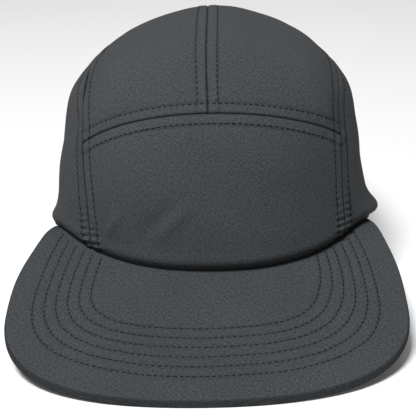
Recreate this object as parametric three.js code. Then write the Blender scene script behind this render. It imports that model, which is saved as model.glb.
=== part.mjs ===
// A five panel cap with a flat brim. A front panel, two side panels and two top panels make the crown,
// which has an arched opening at the back. A stiff brim hangs under the crown's rim, a sweatband runs round
// inside it, and two webbing straps with a slide buckle close the opening.
//
// Lengths are millimetres, +Z is up, the brim points to -Y and +X is the right of a viewer in front. The cap
// rests on the front of its brim and on the back of its rim. A place on the crown is a spot on a disc of
// radius one, seen from above: its middle is the top of the crown and its edge is the rim. A turn is an angle
// in degrees round the crown from the front towards +X, and "up" is the share of the way from the rim to the
// top.

import * as THREE from "three";
import { mergeVertices } from "three/addons/utils/BufferGeometryUtils.js";

const { degToRad, radToDeg, lerp, clamp, smoothstep, euclideanModulo } = THREE.MathUtils;

// Crown
const HALF_WIDTH = 78.5;
const FRONT_REACH = 62.3;
const BACK_REACH = 128;
const CROWN_TOP = 132.4;
const CROWN_LEAN = 1.9;
const FRONT_FULLNESS = 2.14;
const BACK_FULLNESS = 2.35;
const CLOTH = 1.4;

// Crown sections, evenly spaced from the rim to the top, as shares of the rim's width and reach
const SECTIONS = [
  { side: 1, front: 1, back: 1 },
  { side: 0.948, front: 1, back: 0.985 },
  { side: 0.896, front: 0.956, back: 0.94 },
  { side: 0.82, front: 0.855, back: 0.85 },
  { side: 0.6, front: 0.668, back: 0.69 },
  { side: 0.235, front: 0.37, back: 0.41 },
  { side: 0, front: 0, back: 0 },
];

// Folds that the cloth falls into: where each lies, how far it spreads, and its share of the fold depth
const FOLD_DEPTH = 4.5;
const FOLDS = [
  { turn: 90, up: 0.038, spread: 18, rise: 0.042, depth: 1.05 },
  { turn: 84, up: 0.2, spread: 16, rise: 0.06, depth: -0.2 },
  { turn: -88, up: 0.01, spread: 18, rise: 0.035, depth: 0.4 },
  { turn: -90, up: 0.1, spread: 18, rise: 0.06, depth: -0.3 },
  { turn: 28, up: 0.06, spread: 26, rise: 0.07, depth: 0.35 },
  { turn: 140, up: 0.3, spread: 16, rise: 0.12, depth: -0.5 },
  { turn: -138, up: 0.33, spread: 15, rise: 0.11, depth: -0.55 },
  { turn: 112, up: 0.2, spread: 12, rise: 0.16, depth: 0.3 },
  { turn: -114, up: 0.22, spread: 12, rise: 0.15, depth: 0.3 },
];

// Seams: turns of the front panel's side seams at the rim and at its upper corners
const SEAM_FOOT = { left: 43.1, right: 52.6 };
const SEAM_CORNER = { left: 54.2, right: 58.3 };
const CORNER_UP = 0.33;
const FRONT_SEAM_UP = 0.493;
const SEAM_GAP = 0.3;
const SEAM_SINK = 0.6;
const SEAM_SOFTNESS = 9;

// Seam between a side and a top panel, from the front panel's corner to the opening, as spots on the disc
const TOP_SEAM = [
  { left: 0.465, right: 0.485, back: -0.25 },
  { left: 0.405, right: 0.44, back: 0 },
  { left: 0.4, right: 0.43, back: 0.25 },
  { left: 0.4, right: 0.41, back: 0.5 },
  { left: 0.355, right: 0.355, back: 0.7 },
];
const CENTRE_SEAM_SWAY = -0.01;

// Opening at the back, and the share of its half arch that the side panel takes
const OPENING_HALF_WIDTH = 35;
const OPENING_HEIGHT = 40;
const ARCH_SIDE_SHARE = 0.45;

// Brim. Its rounded edge narrows at its ends, where it takes at most a share of the brim's width.
const BRIM_LENGTH = 73.2;
const BRIM_SLOPE = 20.3;
const BRIM_THICKNESS = 3.2;
const BRIM_OVERHANG = 10.3;
const BRIM_END_TURN = { left: 75.7, right: 80 };
const BRIM_SWING = -1.3;
const BRIM_ARCH = 3.2;
const BRIM_EDGE = 1.6;
const BRIM_EDGE_MOST = 0.4;

// Half outline of the brim as shares of its length and width: its widest place, then the pull of its curves
const BRIM_WIDEST = 0.28;
const BRIM_END_PULL = 0.515;
const BRIM_SIDE_PULL = 0.5;
const BRIM_CORNER_PULL = 0.56;
const BRIM_FRONT_PULL = 0.72;

// Rounding of the brim's edge, as shares of its edge width and thickness
const BRIM_EDGE_PROFILE = [
  { inset: 0.3, drop: 0.14 },
  { inset: 0, drop: 0.5 },
];

// How the rim lies: it drops from the bend over the brim's ends to where it rests, behind the middle
const REST_REACH = 110;
const MIDDLE_LIFT = 33.1;
const BEND_SOFTNESS = 3;
const REST_SOFTNESS = 1;

// Sweatband, straps and buckle
const SWEATBAND_HEIGHT = 30;
const SWEATBAND_THICKNESS = 1.2;
const STRAP_HEIGHT = 20;
const STRAP_THICKNESS = 1.2;
const STRAP_RAISE = 2.8;
const STRAP_SEWN_LENGTH = 12;
const STRAP_TAIL = 16;
const STRAP_CLEARANCE = 0.4;
const BUCKLE_LENGTH = 30;
const BUCKLE_THICKNESS = 1.6;
const BUCKLE_BAR = 3;
const BUCKLE_RAIL = 1.9;

// Corners that the short strap's loop is drawn with, as angles round its bar
const STRAP_LOOP = [0, 45, 90, 135, 180];

// Steps along each seam, which the panels on both its sides share, and along the other pieces
const STEPS = {
  halfFrontSeam: 12,
  sideSeam: 13,
  topSeam: 25,
  brimHalf: 24,
  brimAcross: 5,
  sweatbandRound: 64,
  sweatbandUp: 3,
};
const STRAP_STEP = 3.5;

// Fine steps that lengths and slopes are measured with: samples along an edge, degrees round the rim and
// shares of the disc. Points closer than MERGE_DISTANCE are one corner.
const EDGE_SAMPLES = 120;
const ACROSS_SAMPLES = 24;
const RIM_STEP = 0.25;
const DISC_STEP = 0.004;
const MERGE_DISTANCE = 1e-3;

const clothFinish = { color: 0x434548, roughness: 0.82, metalness: 0 };
const sweatbandFinish = { color: 0x2f3133, roughness: 0.9, metalness: 0 };
const webbingFinish = { color: 0x2b2d2f, roughness: 0.75, metalness: 0 };
const buckleFinish = { color: 0x1c1d1f, roughness: 0.4, metalness: 0 };

// Numbers

// A smooth value from one column of a table whose rows are evenly spaced over 0 to 1.
function between(rows, column, share) {
  const last = rows.length - 1;
  const place = clamp(share, 0, 1) * last;
  const row = Math.min(Math.floor(place), last - 1);
  const t = place - row;
  const here = rows[row][column];
  const next = rows[row + 1][column];
  const before = row > 0 ? rows[row - 1][column] : 2 * here - next;
  const after = row < last - 1 ? rows[row + 2][column] : 2 * next - here;
  const slope = (next - before) / 2;
  const nextSlope = (after - here) / 2;
  const rise = next - here;
  return here + t * (slope + t * (3 * rise - 2 * slope - nextSlope + t * (slope + nextSlope - 2 * rise)));
}

function signedPower(value, power) {
  return Math.sign(value) * Math.abs(value) ** power;
}

// The lower of two values, rounded off where they meet.
function softMin(a, b, softness) {
  return (a + b) / 2 - Math.hypot((a - b) / 2, softness);
}

function softMax(a, b, softness) {
  return -softMin(-a, -b, softness);
}

// Crown and seat

const brimRise = Math.tan(degToRad(BRIM_SLOPE));
const brimFront = -FRONT_REACH - BRIM_LENGTH * Math.cos(degToRad(BRIM_SLOPE));
const brimHalfWidth = HALF_WIDTH + BRIM_OVERHANG;

// How far the brim's arch lowers its upper face. It fades out behind the brim's ends.
function archDrop(x, y) {
  const share = 1 - smoothstep(y, -FRONT_REACH / 2, FRONT_REACH);
  return BRIM_ARCH * (x / brimHalfWidth) ** 2 * share;
}

// Height of the rim, and of the brim's upper face, above the surface that the cap rests on.
function seatHeight(x, y) {
  const alongBrim = BRIM_THICKNESS + (y - brimFront) * brimRise;
  const alongBack = softMax(MIDDLE_LIFT * (1 - y / REST_REACH), 0, REST_SOFTNESS);
  return softMin(alongBrim, alongBack, BEND_SOFTNESS) - archDrop(x, y);
}

// The rim in plan, at a turn.
function rimPlan(turn) {
  const sideways = Math.sin(degToRad(turn));
  const backwards = -Math.cos(degToRad(turn));
  const inFront = backwards < 0;
  const power = 2 / (inFront ? FRONT_FULLNESS : BACK_FULLNESS);
  const reach = inFront ? FRONT_REACH : BACK_REACH;
  return new THREE.Vector2(HALF_WIDTH * signedPower(sideways, power), reach * signedPower(backwards, power));
}

function onDisc(turn, up) {
  const angle = degToRad(turn);
  return new THREE.Vector2((1 - up) * Math.sin(angle), (up - 1) * Math.cos(angle));
}

// The share of the way up whose height above the rim is given, measured at the back of the crown.
function upAt(height) {
  return radToDeg(Math.asin(clamp(height / CROWN_TOP, -1, 1))) / 90;
}

// How far the folds push the cloth out.
function foldPush(turn, up) {
  let push = 0;
  for (const fold of FOLDS) {
    const aside = euclideanModulo(turn - fold.turn + 180, 360) - 180;
    push += fold.depth * Math.exp(-((aside / fold.spread) ** 2) - ((up - fold.up) / fold.rise) ** 2);
  }
  return push * FOLD_DEPTH;
}

// The outer face of the crown at a spot on the disc.
function crownPoint(spot) {
  const up = 1 - spot.length();
  const turn = radToDeg(Math.atan2(spot.x, -spot.y));
  const rim = rimPlan(turn);
  const height = Math.sin(degToRad(90 * up));
  const reachShare = between(SECTIONS, rim.y < 0 ? "front" : "back", up);
  const push = foldPush(turn, up) * (1 - height);
  const x = rim.x * between(SECTIONS, "side", up) + CROWN_LEAN * height + push * Math.sin(degToRad(turn));
  const y = rim.y * reachShare - push * Math.cos(degToRad(turn));
  return new THREE.Vector3(x, y, lerp(seatHeight(rim.x, rim.y), CROWN_TOP, height));
}

// The crown's outward direction at a spot, from the slopes of its face just inside the rim.
function crownNormal(spot) {
  const middle = spot.clone().clampLength(0, 1 - 2 * DISC_STEP);
  const at = (dx, dy) => crownPoint(middle.clone().add(new THREE.Vector2(dx, dy)));
  const across = at(DISC_STEP, 0).sub(at(-DISC_STEP, 0));
  const back = at(0, DISC_STEP).sub(at(0, -DISC_STEP));
  return across.cross(back).normalize();
}

// A point under the crown's outer face, by a depth along its normal.
function underCrown(spot, depth) {
  return crownPoint(spot).addScaledVector(crownNormal(spot), -depth);
}

// Lowers or lifts points of the rim onto the seat of the brim.
function seatOnBrim(...points) {
  for (const point of points) point.z = seatHeight(point.x, point.y);
}

// Seams

// Each side's name and its sign along X
const SIDES = { left: -1, right: 1 };

// The seam over the front panel: t runs from -1 at its left corner to 1 at its right corner.
function frontSeam(t) {
  const corner = t < 0 ? SEAM_CORNER.left : SEAM_CORNER.right;
  const turn = t * lerp((SEAM_CORNER.left + SEAM_CORNER.right) / 2, corner, Math.abs(t));
  return onDisc(turn, lerp(FRONT_SEAM_UP, CORNER_UP, t * t));
}

function sideSeam(side, t) {
  return onDisc(SIDES[side] * lerp(SEAM_FOOT[side], SEAM_CORNER[side], t), CORNER_UP * t);
}

// The turn between the middle of the back and a foot of the opening's arch
const archHalfTurn = radToDeg(Math.asin((OPENING_HALF_WIDTH / HALF_WIDTH) ** (BACK_FULLNESS / 2)));

// Half of the opening's arch, from its foot on the rim to its middle.
function arch(side, t) {
  const angle = degToRad(90 * t);
  return onDisc(180 - SIDES[side] * archHalfTurn * Math.cos(angle), upAt(OPENING_HEIGHT) * Math.sin(angle));
}

function topSeam(side, t) {
  const spots = TOP_SEAM.map((row) => new THREE.Vector2(SIDES[side] * row[side], row.back));
  return new THREE.SplineCurve([sideSeam(side, 1), ...spots, arch(side, ARCH_SIDE_SHARE)]).getPoint(t);
}

// The seam between the top panels, from the front seam to the arch, a little aside of the middle on its way.
function centreSeam(t) {
  const sway = CENTRE_SEAM_SWAY * Math.sin(Math.PI * t);
  return new THREE.Vector2(sway, lerp(frontSeam(0).y, arch("right", 1).y, t));
}

// The same edge with its parameter spread evenly along its length on the crown.
function evenly(edge) {
  const lengths = [0];
  let last = crownPoint(edge(0));
  for (let i = 1; i <= EDGE_SAMPLES; i++) {
    const next = crownPoint(edge(i / EDGE_SAMPLES));
    lengths.push(lengths[i - 1] + next.distanceTo(last));
    last = next;
  }
  return (share) => {
    const wanted = share * lengths[EDGE_SAMPLES];
    const i = clamp(lengths.findIndex((length) => length >= wanted), 1, EDGE_SAMPLES);
    const part = (wanted - lengths[i - 1]) / (lengths[i] - lengths[i - 1]);
    return edge((i - 1 + part) / EDGE_SAMPLES);
  };
}

// A spot inside four edges: near and far run along s, left and right run along t.
function patchSpot({ near, far, left, right }, s, t) {
  const spot = near(s).multiplyScalar(1 - t).addScaledVector(far(s), t);
  spot.addScaledVector(left(t), 1 - s).addScaledVector(right(t), s);
  spot.addScaledVector(near(0), -(1 - s) * (1 - t)).addScaledVector(near(1), -s * (1 - t));
  return spot.addScaledVector(far(0), -(1 - s) * t).addScaledVector(far(1), -s * t);
}

// Closed shells

// Evenly spaced shares from 0 to 1.
function shares(steps) {
  return Array.from({ length: steps + 1 }, (_, i) => i / steps);
}

// Length on the crown of a line of spots.
function lengthAlong(spotAt) {
  const points = shares(ACROSS_SAMPLES).map((share) => crownPoint(spotAt(share)));
  return points.slice(1).reduce((sum, point, i) => sum + point.distanceTo(points[i]), 0);
}

// A closed shell between two grids of points, with a wall round their border.
function slab(outer, inner) {
  const rows = outer.length;
  const columns = outer[0].length;
  const points = [...outer.flat(), ...inner.flat()];
  const at = (layer, i, j) => layer * rows * columns + i * columns + j;
  const faces = [];
  const quad = (a, b, c, d) => faces.push([a, b, c], [a, c, d]);
  for (let i = 0; i < rows - 1; i++) {
    for (let j = 0; j < columns - 1; j++) {
      quad(at(0, i, j), at(0, i + 1, j), at(0, i + 1, j + 1), at(0, i, j + 1));
      quad(at(1, i, j), at(1, i, j + 1), at(1, i + 1, j + 1), at(1, i + 1, j));
    }
    quad(at(0, i, 0), at(1, i, 0), at(1, i + 1, 0), at(0, i + 1, 0));
    quad(at(0, i, columns - 1), at(0, i + 1, columns - 1), at(1, i + 1, columns - 1), at(1, i, columns - 1));
  }
  for (let j = 0; j < columns - 1; j++) {
    quad(at(0, 0, j), at(0, 0, j + 1), at(1, 0, j + 1), at(1, 0, j));
    quad(at(0, rows - 1, j), at(1, rows - 1, j), at(1, rows - 1, j + 1), at(0, rows - 1, j + 1));
  }
  return closedGeometry(points, faces);
}

// A geometry from points and triangles, with equal points merged and its faces outwards.
function closedGeometry(points, faces) {
  const loose = new THREE.BufferGeometry().setFromPoints(points);
  loose.setIndex(faces.flat());
  const merged = mergeVertices(loose, MERGE_DISTANCE);
  const index = Array.from(merged.index.array);
  const kept = [];
  let volume = 0;
  const [a, b, c] = [new THREE.Vector3(), new THREE.Vector3(), new THREE.Vector3()];
  for (let i = 0; i < index.length; i += 3) {
    const [p, q, r] = index.slice(i, i + 3);
    if (p === q || q === r || r === p) continue;
    kept.push([p, q, r]);
    [a, b, c].forEach((corner, k) => corner.fromBufferAttribute(merged.attributes.position, [p, q, r][k]));
    volume += a.dot(b.cross(c));
  }
  merged.setIndex((volume < 0 ? kept.map((face) => face.reverse()) : kept).flat());
  merged.computeVertexNormals();
  return merged;
}

// Panels

// One panel of the crown: a cloth shell inside four edges. Along the edges that are seams it keeps half the
// seam gap and is drawn in a little.
function panelGeometry(edges, seams, stepsAlong, stepsUp) {
  const half = SEAM_GAP / 2;
  const outer = [];
  const inner = [];
  for (const s of shares(stepsAlong)) {
    const outerRow = [];
    const innerRow = [];
    for (const t of shares(stepsUp)) {
      const across = lengthAlong((share) => patchSpot(edges, share, t));
      const upward = lengthAlong((share) => patchSpot(edges, s, share));
      const fromLeft = lerp(seams.left ? half : 0, across - (seams.right ? half : 0), s);
      const fromNear = lerp(seams.near ? half : 0, upward - (seams.far ? half : 0), t);
      const distances = [
        seams.left ? fromLeft : Infinity,
        seams.right ? across - fromLeft : Infinity,
        seams.near ? fromNear : Infinity,
        seams.far ? upward - fromNear : Infinity,
      ];
      const sink = SEAM_SINK * Math.exp(-((Math.min(...distances) / SEAM_SOFTNESS) ** 2));
      const spot = patchSpot(edges, fromLeft / across, fromNear / upward);
      const face = underCrown(spot, sink);
      const lining = underCrown(spot, sink + CLOTH);
      if (t === 0 && !seams.near) seatOnBrim(face, lining);
      outerRow.push(face);
      innerRow.push(lining);
    }
    outer.push(outerRow);
    inner.push(innerRow);
  }
  return slab(outer, inner);
}

function frontPanelGeometry() {
  const edges = {
    near: evenly((s) => onDisc(lerp(-SEAM_FOOT.left, SEAM_FOOT.right, s), 0)),
    far: evenly((s) => frontSeam(lerp(-1, 1, s))),
    left: evenly((t) => sideSeam("left", t)),
    right: evenly((t) => sideSeam("right", t)),
  };
  const seams = { left: true, right: true, far: true };
  return panelGeometry(edges, seams, 2 * STEPS.halfFrontSeam, STEPS.sideSeam);
}

function sidePanelGeometry(side) {
  const foot = SIDES[side] * SEAM_FOOT[side];
  const edges = {
    near: evenly((s) => onDisc(lerp(foot, SIDES[side] * (180 - archHalfTurn), s), 0)),
    far: evenly((s) => topSeam(side, s)),
    left: evenly((t) => sideSeam(side, t)),
    right: evenly((t) => arch(side, ARCH_SIDE_SHARE * t)),
  };
  const seams = { left: true, far: true };
  return panelGeometry(edges, seams, STEPS.topSeam, STEPS.sideSeam);
}

function topPanelGeometry(side) {
  const edges = {
    near: evenly((s) => frontSeam(SIDES[side] * s)),
    far: evenly((s) => arch(side, lerp(1, ARCH_SIDE_SHARE, s))),
    left: evenly((t) => centreSeam(t)),
    right: evenly((t) => topSeam(side, t)),
  };
  const seams = { left: true, right: true, near: true };
  return panelGeometry(edges, seams, STEPS.halfFrontSeam, STEPS.topSeam);
}

// Brim pieces

// The rim in plan, moved inwards.
function insetRim(turn, inset) {
  const along = rimPlan(turn + RIM_STEP).sub(rimPlan(turn - RIM_STEP)).normalize();
  return rimPlan(turn).addScaledVector(new THREE.Vector2(-along.y, along.x), inset);
}

// One side of the brim's outline in plan, from its end on the rim to the middle of its front.
function brimOutline(side) {
  const sign = SIDES[side];
  const end = rimPlan(sign * BRIM_END_TURN[side]);
  const wideX = BRIM_SWING + sign * brimHalfWidth;
  const wide = new THREE.Vector2(wideX, lerp(-FRONT_REACH, brimFront, BRIM_WIDEST));
  const front = new THREE.Vector2(BRIM_SWING, brimFront);
  const outline = new THREE.CurvePath();
  outline.add(
    new THREE.CubicBezierCurve(
      end,
      end.clone().lerp(wide, BRIM_END_PULL),
      new THREE.Vector2(wide.x, lerp(wide.y, end.y, BRIM_SIDE_PULL)),
      wide,
    ),
  );
  outline.add(
    new THREE.CubicBezierCurve(
      wide,
      new THREE.Vector2(wide.x, lerp(wide.y, front.y, BRIM_CORNER_PULL)),
      new THREE.Vector2(lerp(front.x, wide.x, BRIM_FRONT_PULL), front.y),
      front,
    ),
  );
  return outline;
}

function brimGeometry() {
  const outlines = { left: brimOutline("left"), right: brimOutline("right") };
  const upper = [];
  const lower = [];
  for (let i = -STEPS.brimHalf; i <= STEPS.brimHalf; i++) {
    const side = i < 0 ? "left" : "right";
    const outer = outlines[side].getPoint(1 - Math.abs(i) / STEPS.brimHalf);
    const inner = insetRim((BRIM_END_TURN[side] * i) / STEPS.brimHalf, CLOTH);
    const width = outer.distanceTo(inner);
    const edge = Math.min(BRIM_EDGE, BRIM_EDGE_MOST * width);
    const flat = shares(STEPS.brimAcross).map((s) => ({ from: s * (width - edge), drop: 0 }));
    const rounded = BRIM_EDGE_PROFILE.map(({ inset, drop }) => ({ from: width - inset * edge, drop }));
    const upperRow = [];
    const lowerRow = [];
    for (const { from, drop } of [...flat, ...rounded]) {
      const spot = inner.clone().lerp(outer, from / width);
      const top = seatHeight(spot.x, spot.y) - SEAM_GAP;
      upperRow.push(new THREE.Vector3(spot.x, spot.y, top - drop * BRIM_THICKNESS));
      lowerRow.push(new THREE.Vector3(spot.x, spot.y, top - (1 - drop) * BRIM_THICKNESS));
    }
    upper.push(upperRow);
    lower.push(lowerRow);
  }
  return slab(upper, lower);
}

// Sweatband, straps and buckle pieces

// The turn at a length along the rim from the middle of the back, towards +X where it is positive.
function turnAtBack(length) {
  const stride = (turn) => rimPlan(turn).distanceTo(rimPlan(turn - RIM_STEP));
  let turn = 180;
  let left = Math.abs(length);
  while (stride(turn) < left) {
    left -= stride(turn);
    turn -= RIM_STEP;
  }
  const found = turn - (RIM_STEP * left) / stride(turn);
  return length < 0 ? 360 - found : found;
}

function lengthAtBack(turn) {
  return lengthAlong((share) => onDisc(lerp(180, turn, share), 0));
}

const archFootLength = lengthAtBack(180 - archHalfTurn);
const strapEnd = archFootLength + STRAP_SEWN_LENGTH;
const bandDepth = CLOTH + SEAM_SINK + SEAM_GAP;

function sweatbandGeometry() {
  const endTurn = turnAtBack(strapEnd + SEAM_GAP + STRAP_CLEARANCE);
  const layer = (depth) =>
    shares(STEPS.sweatbandRound).map((s) => {
      const turn = lerp(-endTurn, endTurn, s);
      return shares(STEPS.sweatbandUp).map((t) => {
        const point = underCrown(onDisc(turn, upAt(SWEATBAND_HEIGHT) * t), depth);
        if (t === 0) seatOnBrim(point);
        return point;
      });
    });
  return slab(layer(bandDepth), layer(bandDepth + SWEATBAND_THICKNESS));
}

// A point behind the opening: a length along the rim from the middle of the back, a depth and a height.
function strapPoint(along, depth, height) {
  return underCrown(onDisc(turnAtBack(along), upAt(height)), depth);
}

// A strap of webbing along a path of lengths and depths.
function webbingGeometry(path) {
  const heights = [STRAP_RAISE, STRAP_RAISE + STRAP_HEIGHT];
  const outer = [];
  const inner = [];
  path.forEach((here, i) => {
    const before = path[Math.max(i - 1, 0)];
    const after = path[Math.min(i + 1, path.length - 1)];
    const ahead = after.clone().sub(before).normalize();
    const aside = new THREE.Vector2(-ahead.y, ahead.x).multiplyScalar(STRAP_THICKNESS / 2);
    const faces = [here.clone().sub(aside), here.clone().add(aside)];
    outer.push(heights.map((height) => strapPoint(faces[0].x, faces[0].y, height)));
    inner.push(heights.map((height) => strapPoint(faces[1].x, faces[1].y, height)));
  });
  return slab(outer, inner);
}

// Depths of the sewn strap ends, of the buckle's middle, and of webbing that lies against the buckle
const strapDepth = bandDepth + STRAP_THICKNESS / 2;
const buckleDepth = strapDepth + STRAP_THICKNESS / 2;
const overBuckle = BUCKLE_THICKNESS / 2 + STRAP_CLEARANCE + STRAP_THICKNESS / 2;
const barMiddle = (BUCKLE_LENGTH - BUCKLE_BAR) / 2;

// A strap's path through its places in short steps, with its depth eased from each place to the next.
function easedPath(places) {
  const path = [places[0]];
  places.slice(1).forEach((to, i) => {
    const from = places[i];
    const steps = Math.ceil(from.distanceTo(to) / STRAP_STEP);
    for (const s of shares(steps).slice(1)) {
      const eased = smoothstep(s, 0, 1);
      path.push(new THREE.Vector2(lerp(from.x, to.x, s), lerp(from.y, to.y, eased)));
    }
  });
  return path;
}

// The long strap runs from the left side behind the first bar, over the middle bar and behind the last one.
function leftStrapGeometry() {
  const behind = buckleDepth + overBuckle;
  const behindLoop = behind + STRAP_THICKNESS + STRAP_CLEARANCE;
  const places = [
    new THREE.Vector2(-strapEnd, strapDepth),
    new THREE.Vector2(-archFootLength, strapDepth),
    new THREE.Vector2(-barMiddle, behind),
    new THREE.Vector2(-BUCKLE_BAR / 2, buckleDepth - overBuckle),
    new THREE.Vector2(BUCKLE_BAR / 2, buckleDepth - overBuckle),
    new THREE.Vector2(barMiddle - BUCKLE_BAR, behindLoop),
    new THREE.Vector2(BUCKLE_LENGTH / 2 + STRAP_TAIL, behindLoop),
  ];
  return webbingGeometry(easedPath(places));
}

// The short strap runs from the right side over the last bar, round it and back behind it.
function rightStrapGeometry() {
  const loopReach = barMiddle - BUCKLE_BAR / 2 - STRAP_CLEARANCE - STRAP_THICKNESS / 2;
  const loopMiddle = new THREE.Vector2(loopReach + overBuckle, buckleDepth);
  const path = easedPath([
    new THREE.Vector2(strapEnd, strapDepth),
    new THREE.Vector2(archFootLength, strapDepth),
    new THREE.Vector2(BUCKLE_LENGTH / 2, buckleDepth - overBuckle),
  ]);
  for (const angle of STRAP_LOOP) {
    const turned = new THREE.Vector2(0, -overBuckle).rotateAround(new THREE.Vector2(), degToRad(-angle));
    path.push(loopMiddle.clone().add(turned));
  }
  path.push(new THREE.Vector2(BUCKLE_LENGTH / 2 + STRAP_SEWN_LENGTH / 2, buckleDepth + overBuckle));
  return webbingGeometry(path);
}

// The buckle is a plate with two slots, curved like the crown behind it.
function buckleGeometry() {
  const half = BUCKLE_LENGTH / 2;
  const bar = BUCKLE_BAR / 2;
  const along = [-half, -half + BUCKLE_BAR, -bar, bar, half - BUCKLE_BAR, half];
  const slotFoot = STRAP_RAISE - SEAM_GAP;
  const slotHead = STRAP_RAISE + STRAP_HEIGHT + SEAM_GAP;
  const heights = [slotFoot - BUCKLE_RAIL, slotFoot, slotHead, slotHead + BUCKLE_RAIL];
  const isOpen = (i, j) => i < 0 || j < 0 || i > 4 || j > 2 || (j === 1 && i % 2 === 1);
  const depths = [buckleDepth - BUCKLE_THICKNESS / 2, buckleDepth + BUCKLE_THICKNESS / 2];
  const points = [];
  const faces = [];
  const corner = (i, j, layer) => points.push(strapPoint(along[i], depths[layer], heights[j])) - 1;
  const quad = (a, b, c, d) => faces.push([a, b, c], [a, c, d]);
  for (let i = 0; i < 5; i++) {
    for (let j = 0; j < 3; j++) {
      if (isOpen(i, j)) continue;
      quad(corner(i, j, 0), corner(i + 1, j, 0), corner(i + 1, j + 1, 0), corner(i, j + 1, 0));
      quad(corner(i, j, 1), corner(i, j + 1, 1), corner(i + 1, j + 1, 1), corner(i + 1, j, 1));
      if (isOpen(i - 1, j)) quad(corner(i, j, 0), corner(i, j + 1, 0), corner(i, j + 1, 1), corner(i, j, 1));
      if (isOpen(i + 1, j)) {
        quad(corner(i + 1, j, 0), corner(i + 1, j, 1), corner(i + 1, j + 1, 1), corner(i + 1, j + 1, 0));
      }
      if (isOpen(i, j - 1)) quad(corner(i, j, 0), corner(i, j, 1), corner(i + 1, j, 1), corner(i + 1, j, 0));
      if (isOpen(i, j + 1)) {
        quad(corner(i, j + 1, 0), corner(i + 1, j + 1, 0), corner(i + 1, j + 1, 1), corner(i, j + 1, 1));
      }
    }
  }
  return closedGeometry(points, faces);
}

// Assembly

function piece(name, geometry, finish) {
  const mesh = new THREE.Mesh(geometry, new THREE.MeshStandardMaterial(finish));
  mesh.name = name;
  return mesh;
}

const pieces = new THREE.Group();
pieces.add(piece("front_panel", frontPanelGeometry(), clothFinish));
for (const side of Object.keys(SIDES)) {
  pieces.add(piece("side_panel_" + side, sidePanelGeometry(side), clothFinish));
  pieces.add(piece("top_panel_" + side, topPanelGeometry(side), clothFinish));
}
pieces.add(piece("brim", brimGeometry(), clothFinish));
pieces.add(piece("sweatband", sweatbandGeometry(), sweatbandFinish));
pieces.add(piece("strap_left", leftStrapGeometry(), webbingFinish));
pieces.add(piece("strap_right", rightStrapGeometry(), webbingFinish));
pieces.add(piece("buckle", buckleGeometry(), buckleFinish));

// The cap stands with the middle of its box's foot at the origin.
const box = new THREE.Box3().setFromObject(pieces);
pieces.position.set(-(box.min.x + box.max.x) / 2, -(box.min.y + box.max.y) / 2, -box.min.z);
const cap = new THREE.Group();
cap.add(pieces);

export default cap;
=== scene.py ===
"""A five panel cap with a flat brim, dressed over its CAD frame.

The panels, the brim and the band are built again on the same sizes as the frame, with finer meshes that carry the
seams' relief and puckers. Stitches are made by a Geometry Nodes tree. Sizes are in millimetres unless a comment says
otherwise, and meshes are written in metres with +Z up and the brim towards -Y.
"""

import logging
import math
from dataclasses import dataclass, field
from enum import Enum
from typing import Callable

import bmesh
import bpy
import numpy as np
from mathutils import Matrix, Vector, noise
from mathutils.bvhtree import BVHTree

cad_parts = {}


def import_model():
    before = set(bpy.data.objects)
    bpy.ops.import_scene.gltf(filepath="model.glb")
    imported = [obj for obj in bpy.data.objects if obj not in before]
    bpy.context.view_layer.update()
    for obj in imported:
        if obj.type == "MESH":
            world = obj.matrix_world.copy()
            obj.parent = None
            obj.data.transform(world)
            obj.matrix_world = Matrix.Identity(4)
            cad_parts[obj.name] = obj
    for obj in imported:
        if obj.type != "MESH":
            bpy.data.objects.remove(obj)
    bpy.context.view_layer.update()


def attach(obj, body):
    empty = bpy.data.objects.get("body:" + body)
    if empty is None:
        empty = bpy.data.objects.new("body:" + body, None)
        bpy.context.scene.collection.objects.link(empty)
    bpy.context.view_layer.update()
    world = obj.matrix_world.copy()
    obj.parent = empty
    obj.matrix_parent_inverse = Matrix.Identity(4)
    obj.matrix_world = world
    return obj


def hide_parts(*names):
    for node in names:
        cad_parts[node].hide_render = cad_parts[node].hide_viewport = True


log = logging.getLogger("cap")

Array = np.ndarray
Edge = Callable[[np.ndarray], np.ndarray]
Shares = tuple[float, ...]


def smooth(share: Array) -> Array:
    """Eases shares from 0 to 1."""
    t = np.clip(share, 0, 1)
    return t * t * (3 - 2 * t)


def soft_min(a: Array, b: Array, softness: float) -> Array:
    """The lower of two values, rounded off where they meet."""
    return (a + b) / 2 - np.hypot((a - b) / 2, softness)


def unit(vectors: Array) -> Array:
    """Vectors scaled to a length of one."""
    return vectors / np.maximum(np.linalg.norm(vectors, axis=-1, keepdims=True), 1e-12)


def between(rows: Shares, share: Array) -> Array:
    """Smooth values from evenly spaced rows.

    Args:
        rows: The values of the rows.
        share: Shares of the way from the first row to the last one.

    Returns:
        The values at the shares.
    """
    values = np.array(rows, float)
    last = len(values) - 1
    place = np.clip(share, 0, 1) * last
    row = np.minimum(np.floor(place).astype(int), last - 1)
    t = place - row
    here, after = values[row], values[row + 1]
    before = np.where(row > 0, values[np.maximum(row - 1, 0)], 2 * here - after)
    beyond = np.where(row < last - 1, values[np.minimum(row + 2, last)], 2 * after - here)
    slope, next_slope, rise = (after - before) / 2, (beyond - here) / 2, after - here
    return here + t * (slope + t * (3 * rise - 2 * slope - next_slope + t * (slope + next_slope - 2 * rise)))


def on_disc(turn: Array, up: Array) -> Array:
    """The spot at a turn and a share of the way up."""
    angle = np.radians(turn)
    return np.stack([(1 - up) * np.sin(angle), (up - 1) * np.cos(angle)], -1)


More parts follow.
